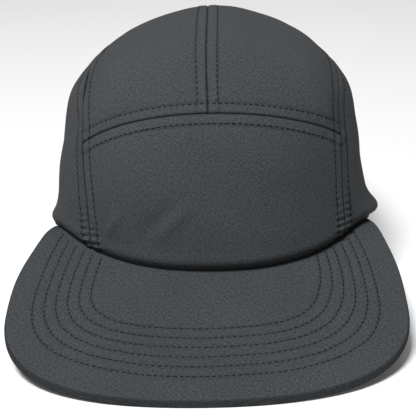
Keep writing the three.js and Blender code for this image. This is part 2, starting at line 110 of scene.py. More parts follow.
@dataclass(frozen=True)
class CrownForm:
    """The crown's outer face and the seat of its rim, with sizes in millimetres.

    A spot is a place on a disc of radius one, seen from above: its middle is the top of the crown and its edge
    is the rim. A turn is an angle in degrees round the crown from the front towards +X.
    """

    half_width: float = 78.5
    front_reach: float = 62.3
    back_reach: float = 128.0
    top: float = 132.4
    lean: float = 1.9
    front_fullness: float = 2.14
    back_fullness: float = 2.35
    cloth: float = 1.4
    brim_length: float = 73.2
    brim_slope: float = 20.3
    brim_thickness: float = 3.2
    brim_overhang: float = 10.3
    brim_arch: float = 3.2
    rest_reach: float = 110.0
    middle_lift: float = 33.1
    bend_softness: float = 3.0
    rest_softness: float = 1.0
    side_shares: Shares = (1, 0.948, 0.896, 0.82, 0.6, 0.235, 0)
    front_shares: Shares = (1, 1, 0.956, 0.855, 0.668, 0.37, 0)
    back_shares: Shares = (1, 0.985, 0.94, 0.85, 0.69, 0.41, 0)
    folds: tuple[Shares, ...] = (
        (90, 0.038, 18, 0.042, 4.72),
        (84, 0.2, 16, 0.06, -0.9),
        (-88, 0.01, 18, 0.035, 1.8),
        (-90, 0.1, 18, 0.06, -1.35),
        (28, 0.06, 26, 0.07, 1.57),
        (140, 0.3, 16, 0.12, -2.25),
        (-138, 0.33, 15, 0.11, -2.47),
        (112, 0.2, 12, 0.16, 1.35),
        (-114, 0.22, 12, 0.15, 1.35),
    )
    centre: tuple[float, float] = (1.3, 2.1)

    @property
    def brim_front(self) -> float:
        """The brim's tip along Y."""
        return -self.front_reach - self.brim_length * math.cos(math.radians(self.brim_slope))

    def rim_plan(self, turn: Array) -> Array:
        """The rim in plan.

        Args:
            turn: Turns in degrees.

        Returns:
            Points (x, y) on the rim.
        """
        across, back = np.sin(np.radians(turn)), -np.cos(np.radians(turn))
        power = np.where(back < 0, 2 / self.front_fullness, 2 / self.back_fullness)
        reach = np.where(back < 0, self.front_reach, self.back_reach)
        return np.stack(
            [self.half_width * np.sign(across) * abs(across) ** power, reach * np.sign(back) * abs(back) ** power], -1
        )

    def seat_height(self, x: Array, y: Array) -> Array:
        """Height of the rim, and of the brim's upper face, above the surface that the cap rests on.

        Args:
            x: Places along X.
            y: Places along Y.

        Returns:
            The heights.
        """
        along_brim = self.brim_thickness + (y - self.brim_front) * math.tan(math.radians(self.brim_slope))
        along_back = -soft_min(self.middle_lift * (y / self.rest_reach - 1), 0, self.rest_softness)
        fade = 1 - smooth((y + self.front_reach / 2) / (1.5 * self.front_reach))
        drop = self.brim_arch * (x / (self.half_width + self.brim_overhang)) ** 2 * fade
        return soft_min(along_brim, along_back, self.bend_softness) - drop

    def push(self, turn: Array, up: Array) -> Array:
        """How far the folds push the cloth out.

        Args:
            turn: Turns in degrees.
            up: Shares of the way from the rim to the top.

        Returns:
            The pushes.
        """
        total = np.zeros(np.shape(turn))
        for at, height, spread, rise, depth in self.folds:
            aside = (turn - at + 180) % 360 - 180
            total += depth * np.exp(-((aside / spread) ** 2) - ((up - height) / rise) ** 2)
        return total

    def point(self, spot: Array) -> Array:
        """The outer face of the crown.

        Args:
            spot: Spots on the disc.

        Returns:
            Points (x, y, z).
        """
        up = 1 - np.hypot(spot[..., 0], spot[..., 1])
        turn = np.degrees(np.arctan2(spot[..., 0], -spot[..., 1]))
        rim = self.rim_plan(turn)
        height = np.sin(np.radians(90 * up))
        back = np.where(rim[..., 1] < 0, between(self.front_shares, up), between(self.back_shares, up))
        push = self.push(turn, up) * (1 - height)
        x = rim[..., 0] * between(self.side_shares, up) + self.lean * height + push * np.sin(np.radians(turn))
        y = rim[..., 1] * back - push * np.cos(np.radians(turn))
        seat = self.seat_height(rim[..., 0], rim[..., 1])
        return np.stack([x, y, seat + (self.top - seat) * height], -1)

    def slopes(self, spot: Array) -> tuple[Array, Array]:
        """How a point moves with its spot.

        Args:
            spot: Spots on the disc.

        Returns:
            The changes of the point along the disc's two axes.
        """
        step = 0.004
        radius = np.linalg.norm(spot, axis=-1, keepdims=True)
        middle = spot * np.minimum(1, (1 - 2 * step) / np.maximum(radius, 1e-9))
        along_x, along_y = np.array([step, 0]), np.array([0, step])
        return (
            (self.point(middle + along_x) - self.point(middle - along_x)) / (2 * step),
            (self.point(middle + along_y) - self.point(middle - along_y)) / (2 * step),
        )

    def normal(self, spot: Array) -> Array:
        """The crown's outward directions at spots."""
        across, back = self.slopes(spot)
        return unit(np.cross(across, back))

    def under(self, spot: Array, depth: Array) -> Array:
        """Points under the outer face, by depths along its normals."""
        return self.point(spot) - self.normal(spot) * np.asarray(depth)[..., None]

    def up_at(self, height: Array) -> Array:
        """The share of the way up whose height above the back rim is given."""
        return np.degrees(np.arcsin(np.clip(np.asarray(height) / self.top, -1, 1))) / 90


class Side(Enum):
    """A side of the cap, as its sign along X."""

    LEFT = -1
    RIGHT = 1


class EdgeKind(Enum):
    """What an edge of a panel is: sewn to the next panel, a folded hem, or the rim."""

    SEAM = "seam"
    HEM = "hem"
    RIM = "rim"


@dataclass(frozen=True)
class SeamPlan:
    """Where the seams run, as spots on the disc. Each takes shares from 0 to 1 along the seam."""

    form: CrownForm
    foot: dict[Side, float] = field(default_factory=lambda: {Side.LEFT: 43.1, Side.RIGHT: 52.6})
    corner: dict[Side, float] = field(default_factory=lambda: {Side.LEFT: 54.2, Side.RIGHT: 58.3})
    corner_up: float = 0.33
    front_up: float = 0.493
    top_places: dict[Side, tuple[tuple[float, float], ...]] = field(
        default_factory=lambda: {
            Side.LEFT: ((0.465, -0.25), (0.405, 0), (0.4, 0.25), (0.4, 0.5), (0.355, 0.7)),
            Side.RIGHT: ((0.485, -0.25), (0.44, 0), (0.43, 0.25), (0.41, 0.5), (0.355, 0.7)),
        }
    )
    centre_sway: float = -0.01
    opening_half_width: float = 35.0
    opening_height: float = 40.0
    arch_side_share: float = 0.45

    @property
    def arch_half_turn(self) -> float:
        """The turn between the middle of the back and a foot of the arch."""
        share = (self.opening_half_width / self.form.half_width) ** (self.form.back_fullness / 2)
        return math.degrees(math.asin(share))

    def front(self, t: Array) -> Array:
        """The seam over the front panel, from -1 at its left corner to 1 at its right corner."""
        mean = (self.corner[Side.LEFT] + self.corner[Side.RIGHT]) / 2
        corner = np.where(t < 0, self.corner[Side.LEFT], self.corner[Side.RIGHT])
        turn = t * (mean + (corner - mean) * abs(t))
        return on_disc(turn, self.front_up + (self.corner_up - self.front_up) * t * t)

    def side(self, side: Side, t: Array) -> Array:
        """The seam beside the front panel, from the rim to its corner."""
        turn = self.foot[side] + (self.corner[side] - self.foot[side]) * t
        return on_disc(side.value * turn, self.corner_up * t)

    def arch(self, side: Side, t: Array) -> Array:
        """Half of the opening's arch, from its foot on the rim to its middle."""
        angle = np.radians(90 * t)
        turn = 180 - side.value * self.arch_half_turn * np.cos(angle)
        return on_disc(turn, self.form.up_at(self.opening_height) * np.sin(angle))

    def top(self, side: Side, t: Array) -> Array:
        """The seam between a side and a top panel, from the front panel's corner to the arch.

        Args:
            side: The side of the cap.
            t: Shares along the seam.

        Returns:
            Spots on a smooth curve through the seam's places.
        """
        places = [(side.value * x, y) for x, y in self.top_places[side]]
        ends = self.side(side, np.array([1.0])), self.arch(side, np.array([self.arch_side_share]))
        knots = np.concatenate([ends[0], np.array(places), ends[1]])
        return through(knots, t)

    def centre(self, t: Array) -> Array:
        """The seam between the top panels, from the front seam to the arch."""
        start, end = self.front(np.array([0.0]))[0, 1], self.arch(Side.RIGHT, np.array([1.0]))[0, 1]
        return np.stack([self.centre_sway * np.sin(np.pi * t), start + (end - start) * t], -1)

    def rim(self, start: float, end: float) -> Edge:
        """A stretch of the rim between two turns."""
        return lambda t: on_disc(start + (end - start) * np.asarray(t), np.zeros(np.shape(t)))

    def evenly(self, edge: Edge) -> Edge:
        """The same edge with its shares spread evenly along its length on the crown."""
        shares = np.linspace(0, 1, 321)
        lengths = run_lengths(self.form.point(edge(shares)))
        return lambda t: edge(np.interp(np.asarray(t) * lengths[-1], lengths, shares))

    def beside(self, edge: Edge, distance: float, shares: Array) -> Array:
        """Points of the crown beside an edge.

        Args:
            edge: The edge.
            distance: How far to its left, seen from outside along its run; to its right where negative.
            shares: Shares along the edge.

        Returns:
            Points (x, y, z) on the crown's plain outer face.
        """
        spots = edge(shares)
        points = self.form.point(spots)
        aside = np.cross(self.form.normal(spots), unit(np.gradient(points, axis=0)))
        across, back = self.form.slopes(spots)
        wanted = aside * distance
        aa, ab, bb = (across * across).sum(-1), (across * back).sum(-1), (back * back).sum(-1)
        aw, bw = (across * wanted).sum(-1), (back * wanted).sum(-1)
        bottom = aa * bb - ab * ab
        moved = spots + np.stack([(bb * aw - ab * bw) / bottom, (aa * bw - ab * aw) / bottom], -1)
        return self.form.point(moved)


def through(knots: Array, t: Array) -> Array:
    """A smooth curve through knots.

    Args:
        knots: The points that the curve goes through.
        t: Shares from 0 at the first knot to 1 at the last one.

    Returns:
        Points on the curve.
    """
    last = len(knots) - 1
    place = np.clip(np.asarray(t, float), 0, 1) * last
    i = np.minimum(np.floor(place).astype(int), last - 1)
    w = (place - i)[..., None]
    before, here = knots[np.maximum(i - 1, 0)], knots[i]
    after, beyond = knots[i + 1], knots[np.minimum(i + 2, last)]
    v0, v1 = (after - before) / 2, (beyond - here) / 2
    return ((2 * here - 2 * after + v0 + v1) * w + (-3 * here + 3 * after - 2 * v0 - v1)) * w * w + v0 * w + here


def run_lengths(points: Array) -> Array:
    """Length along a row of points up to each of them."""
    return np.concatenate([[0.0], np.cumsum(np.linalg.norm(np.diff(points, axis=0), axis=-1))])


def nearest_on(line: Array, points: Array) -> tuple[Array, Array]:
    """How far points lie from a line.

    Args:
        line: Points along the line, close together.
        points: The points to measure.

    Returns:
        Each point's distance and its length along the line.
    """
    lengths = run_lengths(line)
    distance, along = np.empty(len(points)), np.empty(len(points))
    for start in range(0, len(points), 4000):
        block = points[start : start + 4000]
        gaps = np.linalg.norm(block[:, None, :] - line[None, :, :], axis=-1)
        found = gaps.argmin(1)
        distance[start : start + 4000] = gaps[np.arange(len(block)), found]
        along[start : start + 4000] = lengths[found]
    return distance, along


def crowded(steps: int) -> Array:
    """Shares from 0 to 1 that lie closer together near both ends."""
    even = np.linspace(0, 1, steps + 1)
    return even - 0.62 * np.sin(2 * np.pi * even) / (2 * np.pi)


def unevenness(points: Array, size: float, seed: int) -> Array:
    """Smooth noise from about -1 to 1.

    Args:
        points: Points in millimetres.
        size: How far apart its waves lie.
        seed: Moves the pattern.

    Returns:
        One value for each point.
    """
    shift = Vector((seed * 17.3, seed * 5.1, seed * 9.7))
    flat = points.reshape(-1, 3)
    values = [noise.noise(Vector(p) / size + shift) for p in flat]
    return np.array(values).reshape(points.shape[:-1])


@dataclass(frozen=True)
class SeamRelief:
    """How the cloth rises and falls beside an edge: a groove, a raised allowance, a stitch line and puckers; also the
    shade painted in the groove, along the stitch line and above the rim.
    """

    groove: float = 0.7
    groove_half: float = 0.45
    ridge: float = 0.22
    stitch_at: float = 5.0
    dimple: float = 0.22
    dimple_half: float = 0.8
    pucker: float = 0.16
    sink: float = 0.6
    softness: float = 9.0
    roll: float = 2.3
    roll_height: float = 3.0
    swell: float = 0.5
    swell_at: float = 6.0
    swell_half: float = 3.0
    # painted shadow: the cloth is darkened along the rim, where it rolls in over the brim
    painted_rim_shade: float = 0.65
    # painted shade along the dimple of each stitch line
    painted_line_shade: float = 0.3
    # painted shade in the groove of each seam
    painted_groove_shade: float = 0.75
    # a slightly lighter band over the raised allowance, about 2 mm from the edge
    allowance_lighter: float = 0.05

    def height(self, side: "PanelEdge", distance: Array, along: Array, gain: Array) -> Array:
        """The relief beside one edge.

        Args:
            side: The edge.
            distance: Distances from the edge.
            along: Lengths along the edge.
            gain: How strong the puckers are.

        Returns:
            Heights over the plain face.
        """
        if side.kind is EdgeKind.RIM:
            swell = self.swell * np.exp(-(((distance - self.swell_at) / self.swell_half) ** 2))
            return swell - self.roll * np.exp(-((distance / self.roll_height) ** 2))
        allowance = self.ridge * smooth((self.stitch_at + 1.1 - distance) / 1.3)
        line = self.dimple * np.exp(-(((distance - self.stitch_at) / self.dimple_half) ** 2))
        seed = side.seed
        phase = 2 * np.pi * along / side.pitch + 1.6 * np.sin(along / 9.0 + seed) + seed
        strength = 0.6 + 0.4 * np.sin(along / 14.0 + 2.1 * seed)
        fade = np.exp(-(((distance - 3.4) / 3.1) ** 2))
        puckers = self.pucker * gain * strength * fade * (np.sin(phase) + 0.4 * np.sin(2.3 * phase + 1))
        if side.kind is EdgeKind.HEM:
            return allowance - line + 0.5 * puckers
        return allowance - line + puckers - self.groove * np.exp(-((distance / self.groove_half) ** 2))

    def tone(self, kind: EdgeKind, distance: Array) -> Array:
        """How much lighter or darker the cloth is beside one edge: painted shade in the groove, along the stitch line
        and above the rim, and a slightly lighter band over the allowance.

        Args:
            kind: What the edge is.
            distance: Distances from the edge.

        Returns:
            Shares to add to the cloth's shade.
        """
        # painted shadow along the rim, under the rolled-in cloth
        if kind is EdgeKind.RIM:
            return -self.painted_rim_shade * np.exp(-((distance / self.roll_height) ** 2))
        # painted shade along the stitch line's dimple
        line = self.painted_line_shade * np.exp(-(((distance - self.stitch_at) / 0.5) ** 2))
        # slightly lighter over the raised allowance
        allowance_lighter = self.allowance_lighter * np.exp(-(((distance - 2.2) / 1.1) ** 2))
        if kind is EdgeKind.HEM:
            return allowance_lighter - line
        # painted shade in the seam's groove
        return allowance_lighter - line - self.painted_groove_shade * np.exp(-((distance / 0.42) ** 2))


@dataclass(frozen=True)
class Crease:
    """A faint crease in the cloth, from one place to another, as turns and shares up."""

    start: tuple[float, float]
    end: tuple[float, float]
    height: float
    width: float


def mesh_object(
    name: str,
    points: Array,
    faces: list[tuple[int, ...]],
    uvs: Array | None = None,
    tone: Array | None = None,
) -> bpy.types.Object:
    """A smooth-shaded object.

    Args:
        name: The piece's name.
        points: Its points, in millimetres from the middle of the crown.
        faces: Its faces, pointing outwards.
        uvs: One place for each point in the cloth's own plane, in centimetres, or none.
        tone: How much lighter or darker the cloth is at each of the first points, mostly painted shade, or none.

    Returns:
        The object, linked to the scene.
    """
    shift = np.array([*CrownForm().centre, 0.0])
    mesh = bpy.data.meshes.new(name)
    mesh.from_pydata(((points + shift) / 1000).tolist(), [], faces)
    if uvs is not None:
        layer = mesh.uv_layers.new(name="cloth")
        corners = np.empty(len(mesh.loops), int)
        mesh.loops.foreach_get("vertex_index", corners)
        layer.data.foreach_set("uv", uvs[corners].astype(np.float32).ravel())
    if tone is not None:
        layer = mesh.attributes.new("tone", "FLOAT", "POINT")
        layer.data.foreach_set("value", np.resize(tone.ravel(), len(points)).astype(np.float32))
    mesh.polygons.foreach_set("use_smooth", [True] * len(mesh.polygons))
    mesh.update()
    piece = bpy.data.objects.new(name, mesh)
    bpy.context.scene.collection.objects.link(piece)
    return piece


def shell(outer: Array, inner: Array, uvs: Array) -> tuple[Array, list[tuple[int, ...]], Array]:
    """A closed shell between two grids of points.

    Args:
        outer: The outer grid, rows by columns, turning counter-clockwise seen from outside.
        inner: The inner grid, of the same shape.
        uvs: Places in the cloth's plane for the grid.

    Returns:
        Points, faces and places in the cloth's plane.
    """
    rows, columns = outer.shape[:2]
    count = rows * columns
    grid = np.arange(count).reshape(rows, columns)
    a, b, c, d = grid[:-1, :-1], grid[1:, :-1], grid[1:, 1:], grid[:-1, 1:]
    faces = [tuple(f) for f in np.stack([a, b, c, d], -1).reshape(-1, 4).tolist()]
    faces += [tuple(f) for f in (np.stack([a, d, c, b], -1).reshape(-1, 4) + count).tolist()]
    border = [*grid[:, 0], *grid[-1, 1:], *grid[::-1, -1][1:], *grid[0, ::-1][1:-1]]
    for here, after in zip(border, border[1:] + border[:1]):
        faces.append((int(here), int(here) + count, int(after) + count, int(after)))
    points = np.concatenate([outer.reshape(-1, 3), inner.reshape(-1, 3)])
    return points, faces, np.concatenate([uvs.reshape(-1, 2)] * 2)


@dataclass(frozen=True)
class ClothFinish:
    """Fine woven cloth: its colour, how it takes light, and its weave in threads for each centimetre."""

    name: str
    colour: tuple[float, float, float]
    roughness: float = 0.85
    sheen: float = 0.008
    sheen_roughness: float = 0.5
    sheen_tint: tuple[float, float, float] = (0.8, 0.87, 1.0)
    specular: float = 0.1
    threads: float = 26.0
    weave_height: float = 0.00005
    mottle: float = 0.3
    grain: float = 2.9

    def material(self) -> bpy.types.Material:
        """The finish as a procedural material on the piece's own cloth coordinates.

        Returns:
            The material.
        """
        material, nodes, links, shader = new_material(self.name)
        shader.inputs["Sheen Weight"].default_value = self.sheen
        shader.inputs["Sheen Roughness"].default_value = self.sheen_roughness
        shader.inputs["Sheen Tint"].default_value = (*self.sheen_tint, 1)
        shader.inputs["Specular IOR Level"].default_value = self.specular
        place = nodes.new("ShaderNodeUVMap")
        place.uv_map = "cloth"
        threads = []
        for direction in ("X", "Y"):
            wave = nodes.new("ShaderNodeTexWave")
            wave.bands_direction = direction
            wave.inputs["Scale"].default_value = self.threads * math.pi / 10
            wave.inputs["Distortion"].default_value = 2.0
            wave.inputs["Detail"].default_value = 1
            wave.inputs["Detail Scale"].default_value = 3
            links.new(place.outputs["UV"], wave.inputs["Vector"])
            threads.append(wave.outputs["Fac"])
        weave = math_node(nodes, links, "ADD", threads[0], threads[1])
        slubs = []
        for stretch in ((8.0, 23.0, 1.0), (23.0, 8.0, 1.0)):
            stretched = nodes.new("ShaderNodeVectorMath")
            stretched.operation = "MULTIPLY"
            stretched.inputs[1].default_value = stretch
            links.new(place.outputs["UV"], stretched.inputs[0])
            slubs.append(noise_node(nodes, links, stretched.outputs["Vector"], scale=1.0, detail=1.0))
        grain = math_node(nodes, links, "MULTIPLY", math_node(nodes, links, "ADD", slubs[0], slubs[1]), 0.5)
        mottle = noise_node(nodes, links, place.outputs["UV"], scale=0.22, detail=2.0)
        shade = math_node(nodes, links, "MULTIPLY_ADD", grain, self.grain, 1 - self.grain / 2)
        shade = math_node(
            nodes, links, "MULTIPLY", shade, math_node(nodes, links, "MULTIPLY_ADD", mottle, self.mottle, 1 - self.mottle / 2)
        )
        shade = math_node(nodes, links, "MULTIPLY", shade, math_node(nodes, links, "MULTIPLY_ADD", weave, 0.08, 0.92))
        # the tone attribute darkens the cloth with painted shade along seams, stitch lines, the rim and the brim's
        # edge
        tone = nodes.new("ShaderNodeAttribute")
        tone.attribute_name = "tone"
        shade = math_node(nodes, links, "MULTIPLY", shade, math_node(nodes, links, "ADD", tone.outputs["Fac"], 1.0))
        tint = nodes.new("ShaderNodeVectorMath")
        tint.operation = "SCALE"
        tint.inputs[0].default_value = self.colour
        links.new(shade, tint.inputs["Scale"])
        links.new(tint.outputs["Vector"], shader.inputs["Base Color"])
        rough = math_node(nodes, links, "MULTIPLY_ADD", grain, 0.16, self.roughness - 0.08)
        links.new(rough, shader.inputs["Roughness"])
        height = math_node(nodes, links, "MULTIPLY_ADD", grain, 0.9, weave)
        bump = nodes.new("ShaderNodeBump")
        bump.inputs["Distance"].default_value = self.weave_height
        links.new(height, bump.inputs["Height"])
        links.new(bump.outputs["Normal"], shader.inputs["Normal"])
        return material


@dataclass(frozen=True)
class PlainFinish:
    """Thread or moulded plastic: a colour with a fine grain."""

    name: str
    colour: tuple[float, float, float]
    roughness: float
    grain_scale: float
    grain_height: float
    specular: float = 0.5

    def material(self) -> bpy.types.Material:
        """The finish as a procedural material on object coordinates.

        Returns:
            The material.
        """
        material, nodes, links, shader = new_material(self.name)
        place = nodes.new("ShaderNodeTexCoord")
        grain = noise_node(nodes, links, place.outputs["Object"], scale=self.grain_scale, detail=3.0)
        tint = nodes.new("ShaderNodeVectorMath")
        tint.operation = "SCALE"
        tint.inputs[0].default_value = self.colour
        links.new(math_node(nodes, links, "MULTIPLY_ADD", grain, 0.3, 0.85), tint.inputs["Scale"])
        links.new(tint.outputs["Vector"], shader.inputs["Base Color"])
        rough = math_node(nodes, links, "MULTIPLY_ADD", grain, 0.2, self.roughness - 0.1)
        links.new(rough, shader.inputs["Roughness"])
        bump = nodes.new("ShaderNodeBump")
        bump.inputs["Distance"].default_value = self.grain_height
        links.new(grain, bump.inputs["Height"])
        links.new(bump.outputs["Normal"], shader.inputs["Normal"])
        shader.inputs["Specular IOR Level"].default_value = self.specular
        return material


def new_material(name: str) -> tuple[bpy.types.Material, bpy.types.Nodes, bpy.types.NodeLinks, bpy.types.Node]:
    """A material with a Principled shader.

    Args:
        name: The finish's name.

    Returns:
        The material, its nodes, its links and its shader.
    """
    material = bpy.data.materials.new(name)
    material.use_nodes = True
    nodes, links = material.node_tree.nodes, material.node_tree.links
    return material, nodes, links, nodes["Principled BSDF"]


def math_node(nodes: bpy.types.Nodes, links: bpy.types.NodeLinks, operation: str, *values: object) -> bpy.types.NodeSocket:
    """A Math node whose inputs are numbers or other nodes' outputs.

    Args:
        nodes: The tree's nodes.
        links: The tree's links.
        operation: The node's operation.
        values: Its inputs, in order.

    Returns:
        Its output.
    """
    node = nodes.new("ShaderNodeMath")
    node.operation = operation
    for socket, value in zip(node.inputs, values):
        if isinstance(value, bpy.types.NodeSocket):
            links.new(value, socket)
        else:
            socket.default_value = value
    return node.outputs["Value"]


def noise_node(
    nodes: bpy.types.Nodes, links: bpy.types.NodeLinks, place: bpy.types.NodeSocket, scale: float, detail: float
) -> bpy.types.NodeSocket:
    """A Noise Texture.

    Args:
        nodes: The tree's nodes.
        links: The tree's links.
        place: The coordinates that it reads.
        scale: Its scale.
        detail: Its detail.

    Returns:
        Its value, from 0 to 1.
    """
    node = nodes.new("ShaderNodeTexNoise")
    node.inputs["Scale"].default_value = scale
    node.inputs["Detail"].default_value = detail
    links.new(place, node.inputs["Vector"])
    return node.outputs["Fac"]


@dataclass(frozen=True)
class Wardrobe:
    """The cap's finishes."""

    crown: ClothFinish = ClothFinish("crown_cloth", (0.0445, 0.0473, 0.0502))
    brim: ClothFinish = ClothFinish("brim_cloth", (0.0415, 0.0455, 0.0495))
    band: ClothFinish = ClothFinish("band_cloth", (0.017, 0.018, 0.019), threads=12, roughness=0.85, weave_height=0.0001)
    webbing: ClothFinish = ClothFinish("webbing", (0.013, 0.0135, 0.0145), threads=9, roughness=0.65, weave_height=0.0003)
    thread: PlainFinish = PlainFinish("thread", (0.0015, 0.0015, 0.0018), 0.75, 3000, 0.00003, 0.15)
    plastic: PlainFinish = PlainFinish("buckle_plastic", (0.013, 0.013, 0.014), 0.38, 900, 0.00002)


@dataclass(frozen=True)
class PanelEdge:
    """An edge of a panel, what it is, how strong its puckers are at its two ends, their seed and their pitch."""

    edge: Edge
    kind: EdgeKind
    gain: tuple[float, float] = (1.0, 1.0)
    seed: int = 1
    pitch: float = 5.8


@dataclass
class Panel:
    """One panel of the crown: a cloth shell inside four edges, with relief along them.

    Near and far run the same way, as do left and right, and each pair starts at the same corner.
    """

    name: str
    plan: SeamPlan
    near: PanelEdge
    far: PanelEdge
    left: PanelEdge
    right: PanelEdge
    steps: tuple[int, int]
    creases: tuple[Crease, ...] = ()
    relief: SeamRelief = SeamRelief()
    sag: float = 0.55
    flip: bool = False

    def spots(self) -> Array:
        """A grid of spots inside the four edges."""
        along, up = crowded(self.steps[0]), crowded(self.steps[1])
        near, far, left, right = (self.plan.evenly(e.edge) for e in (self.near, self.far, self.left, self.right))
        s, t = along[:, None, None], up[None, :, None]
        spot = near(along)[:, None] * (1 - t) + far(along)[:, None] * t
        spot = spot + left(up)[None] * (1 - s) + right(up)[None] * s
        ends = np.array([0.0, 1.0])
        corners = near(ends), far(ends)
        spot = spot - corners[0][0] * (1 - s) * (1 - t) - corners[0][1] * s * (1 - t)
        return spot - corners[1][0] * (1 - s) * t - corners[1][1] * s * t

    def heights(self, points: Array) -> tuple[Array, Array]:
        """The relief of the cloth over the crown's plain face.

        Args:
            points: The grid of points on the plain face.

        Returns:
            Heights along the normals, and how much lighter or darker the cloth is, mostly painted shade.
        """
        flat = points.reshape(-1, 3)
        total = self.sag * unevenness(points, 34.0, 3).ravel() + 0.22 * unevenness(points, 13.0, 5).ravel()
        nearest, tone = np.full(len(flat), np.inf), np.zeros(len(flat))
        for side in (self.near, self.far, self.left, self.right):
            line = self.plan.form.point(self.plan.evenly(side.edge)(np.linspace(0, 1, 360)))
            distance, along = nearest_on(line, flat)
            share = along / run_lengths(line)[-1]
            gain = side.gain[0] + (side.gain[1] - side.gain[0]) * share
            total += self.relief.height(side, distance, along, gain)
            tone += self.relief.tone(side.kind, distance)
            if side.kind is EdgeKind.SEAM:
                nearest = np.minimum(nearest, distance)
        total -= self.relief.sink * np.exp(-((nearest / self.relief.softness) ** 2))
        for crease in self.creases:
            ends = self.plan.form.point(on_disc(*np.array([crease.start, crease.end]).T))
            line = ends[0] + (ends[1] - ends[0]) * np.linspace(0, 1, 40)[:, None]
            distance, along = nearest_on(line, flat)
            share = along / run_lengths(line)[-1]
            total += crease.height * np.exp(-((distance / crease.width) ** 2)) * np.sin(np.pi * np.clip(share, 0.05, 0.95))
        return total.reshape(points.shape[:2]), tone.reshape(points.shape[:2])

    def build(self) -> bpy.types.Object:
        """The panel's object.

        Returns:
            A closed shell with its cloth coordinates.
        """
        form = self.plan.form
        spots = self.spots()
        points, normals = form.point(spots), form.normal(spots)
        height, tone = self.heights(points)
        outer = points + normals * height[..., None]
        inner = points + normals * (0.6 * height - form.cloth)[..., None]
        if self.near.kind is EdgeKind.RIM:
            for grid in (outer, inner):
                grid[:, 0, 2] = form.seat_height(grid[:, 0, 0], grid[:, 0, 1])
        along = np.stack([run_lengths(points[:, j]) for j in range(points.shape[1])], 1)
        up = np.stack([run_lengths(points[i]) for i in range(points.shape[0])])
        middle = up.shape[1] // 2
        uvs = np.stack([along - along[-1:] / 2, up - up[:, middle : middle + 1]], -1) / 10
        if self.flip:
            outer, inner, uvs, tone = outer[::-1], inner[::-1], uvs[::-1], tone[::-1]
        return mesh_object(self.name, *shell(outer, inner, uvs), tone)


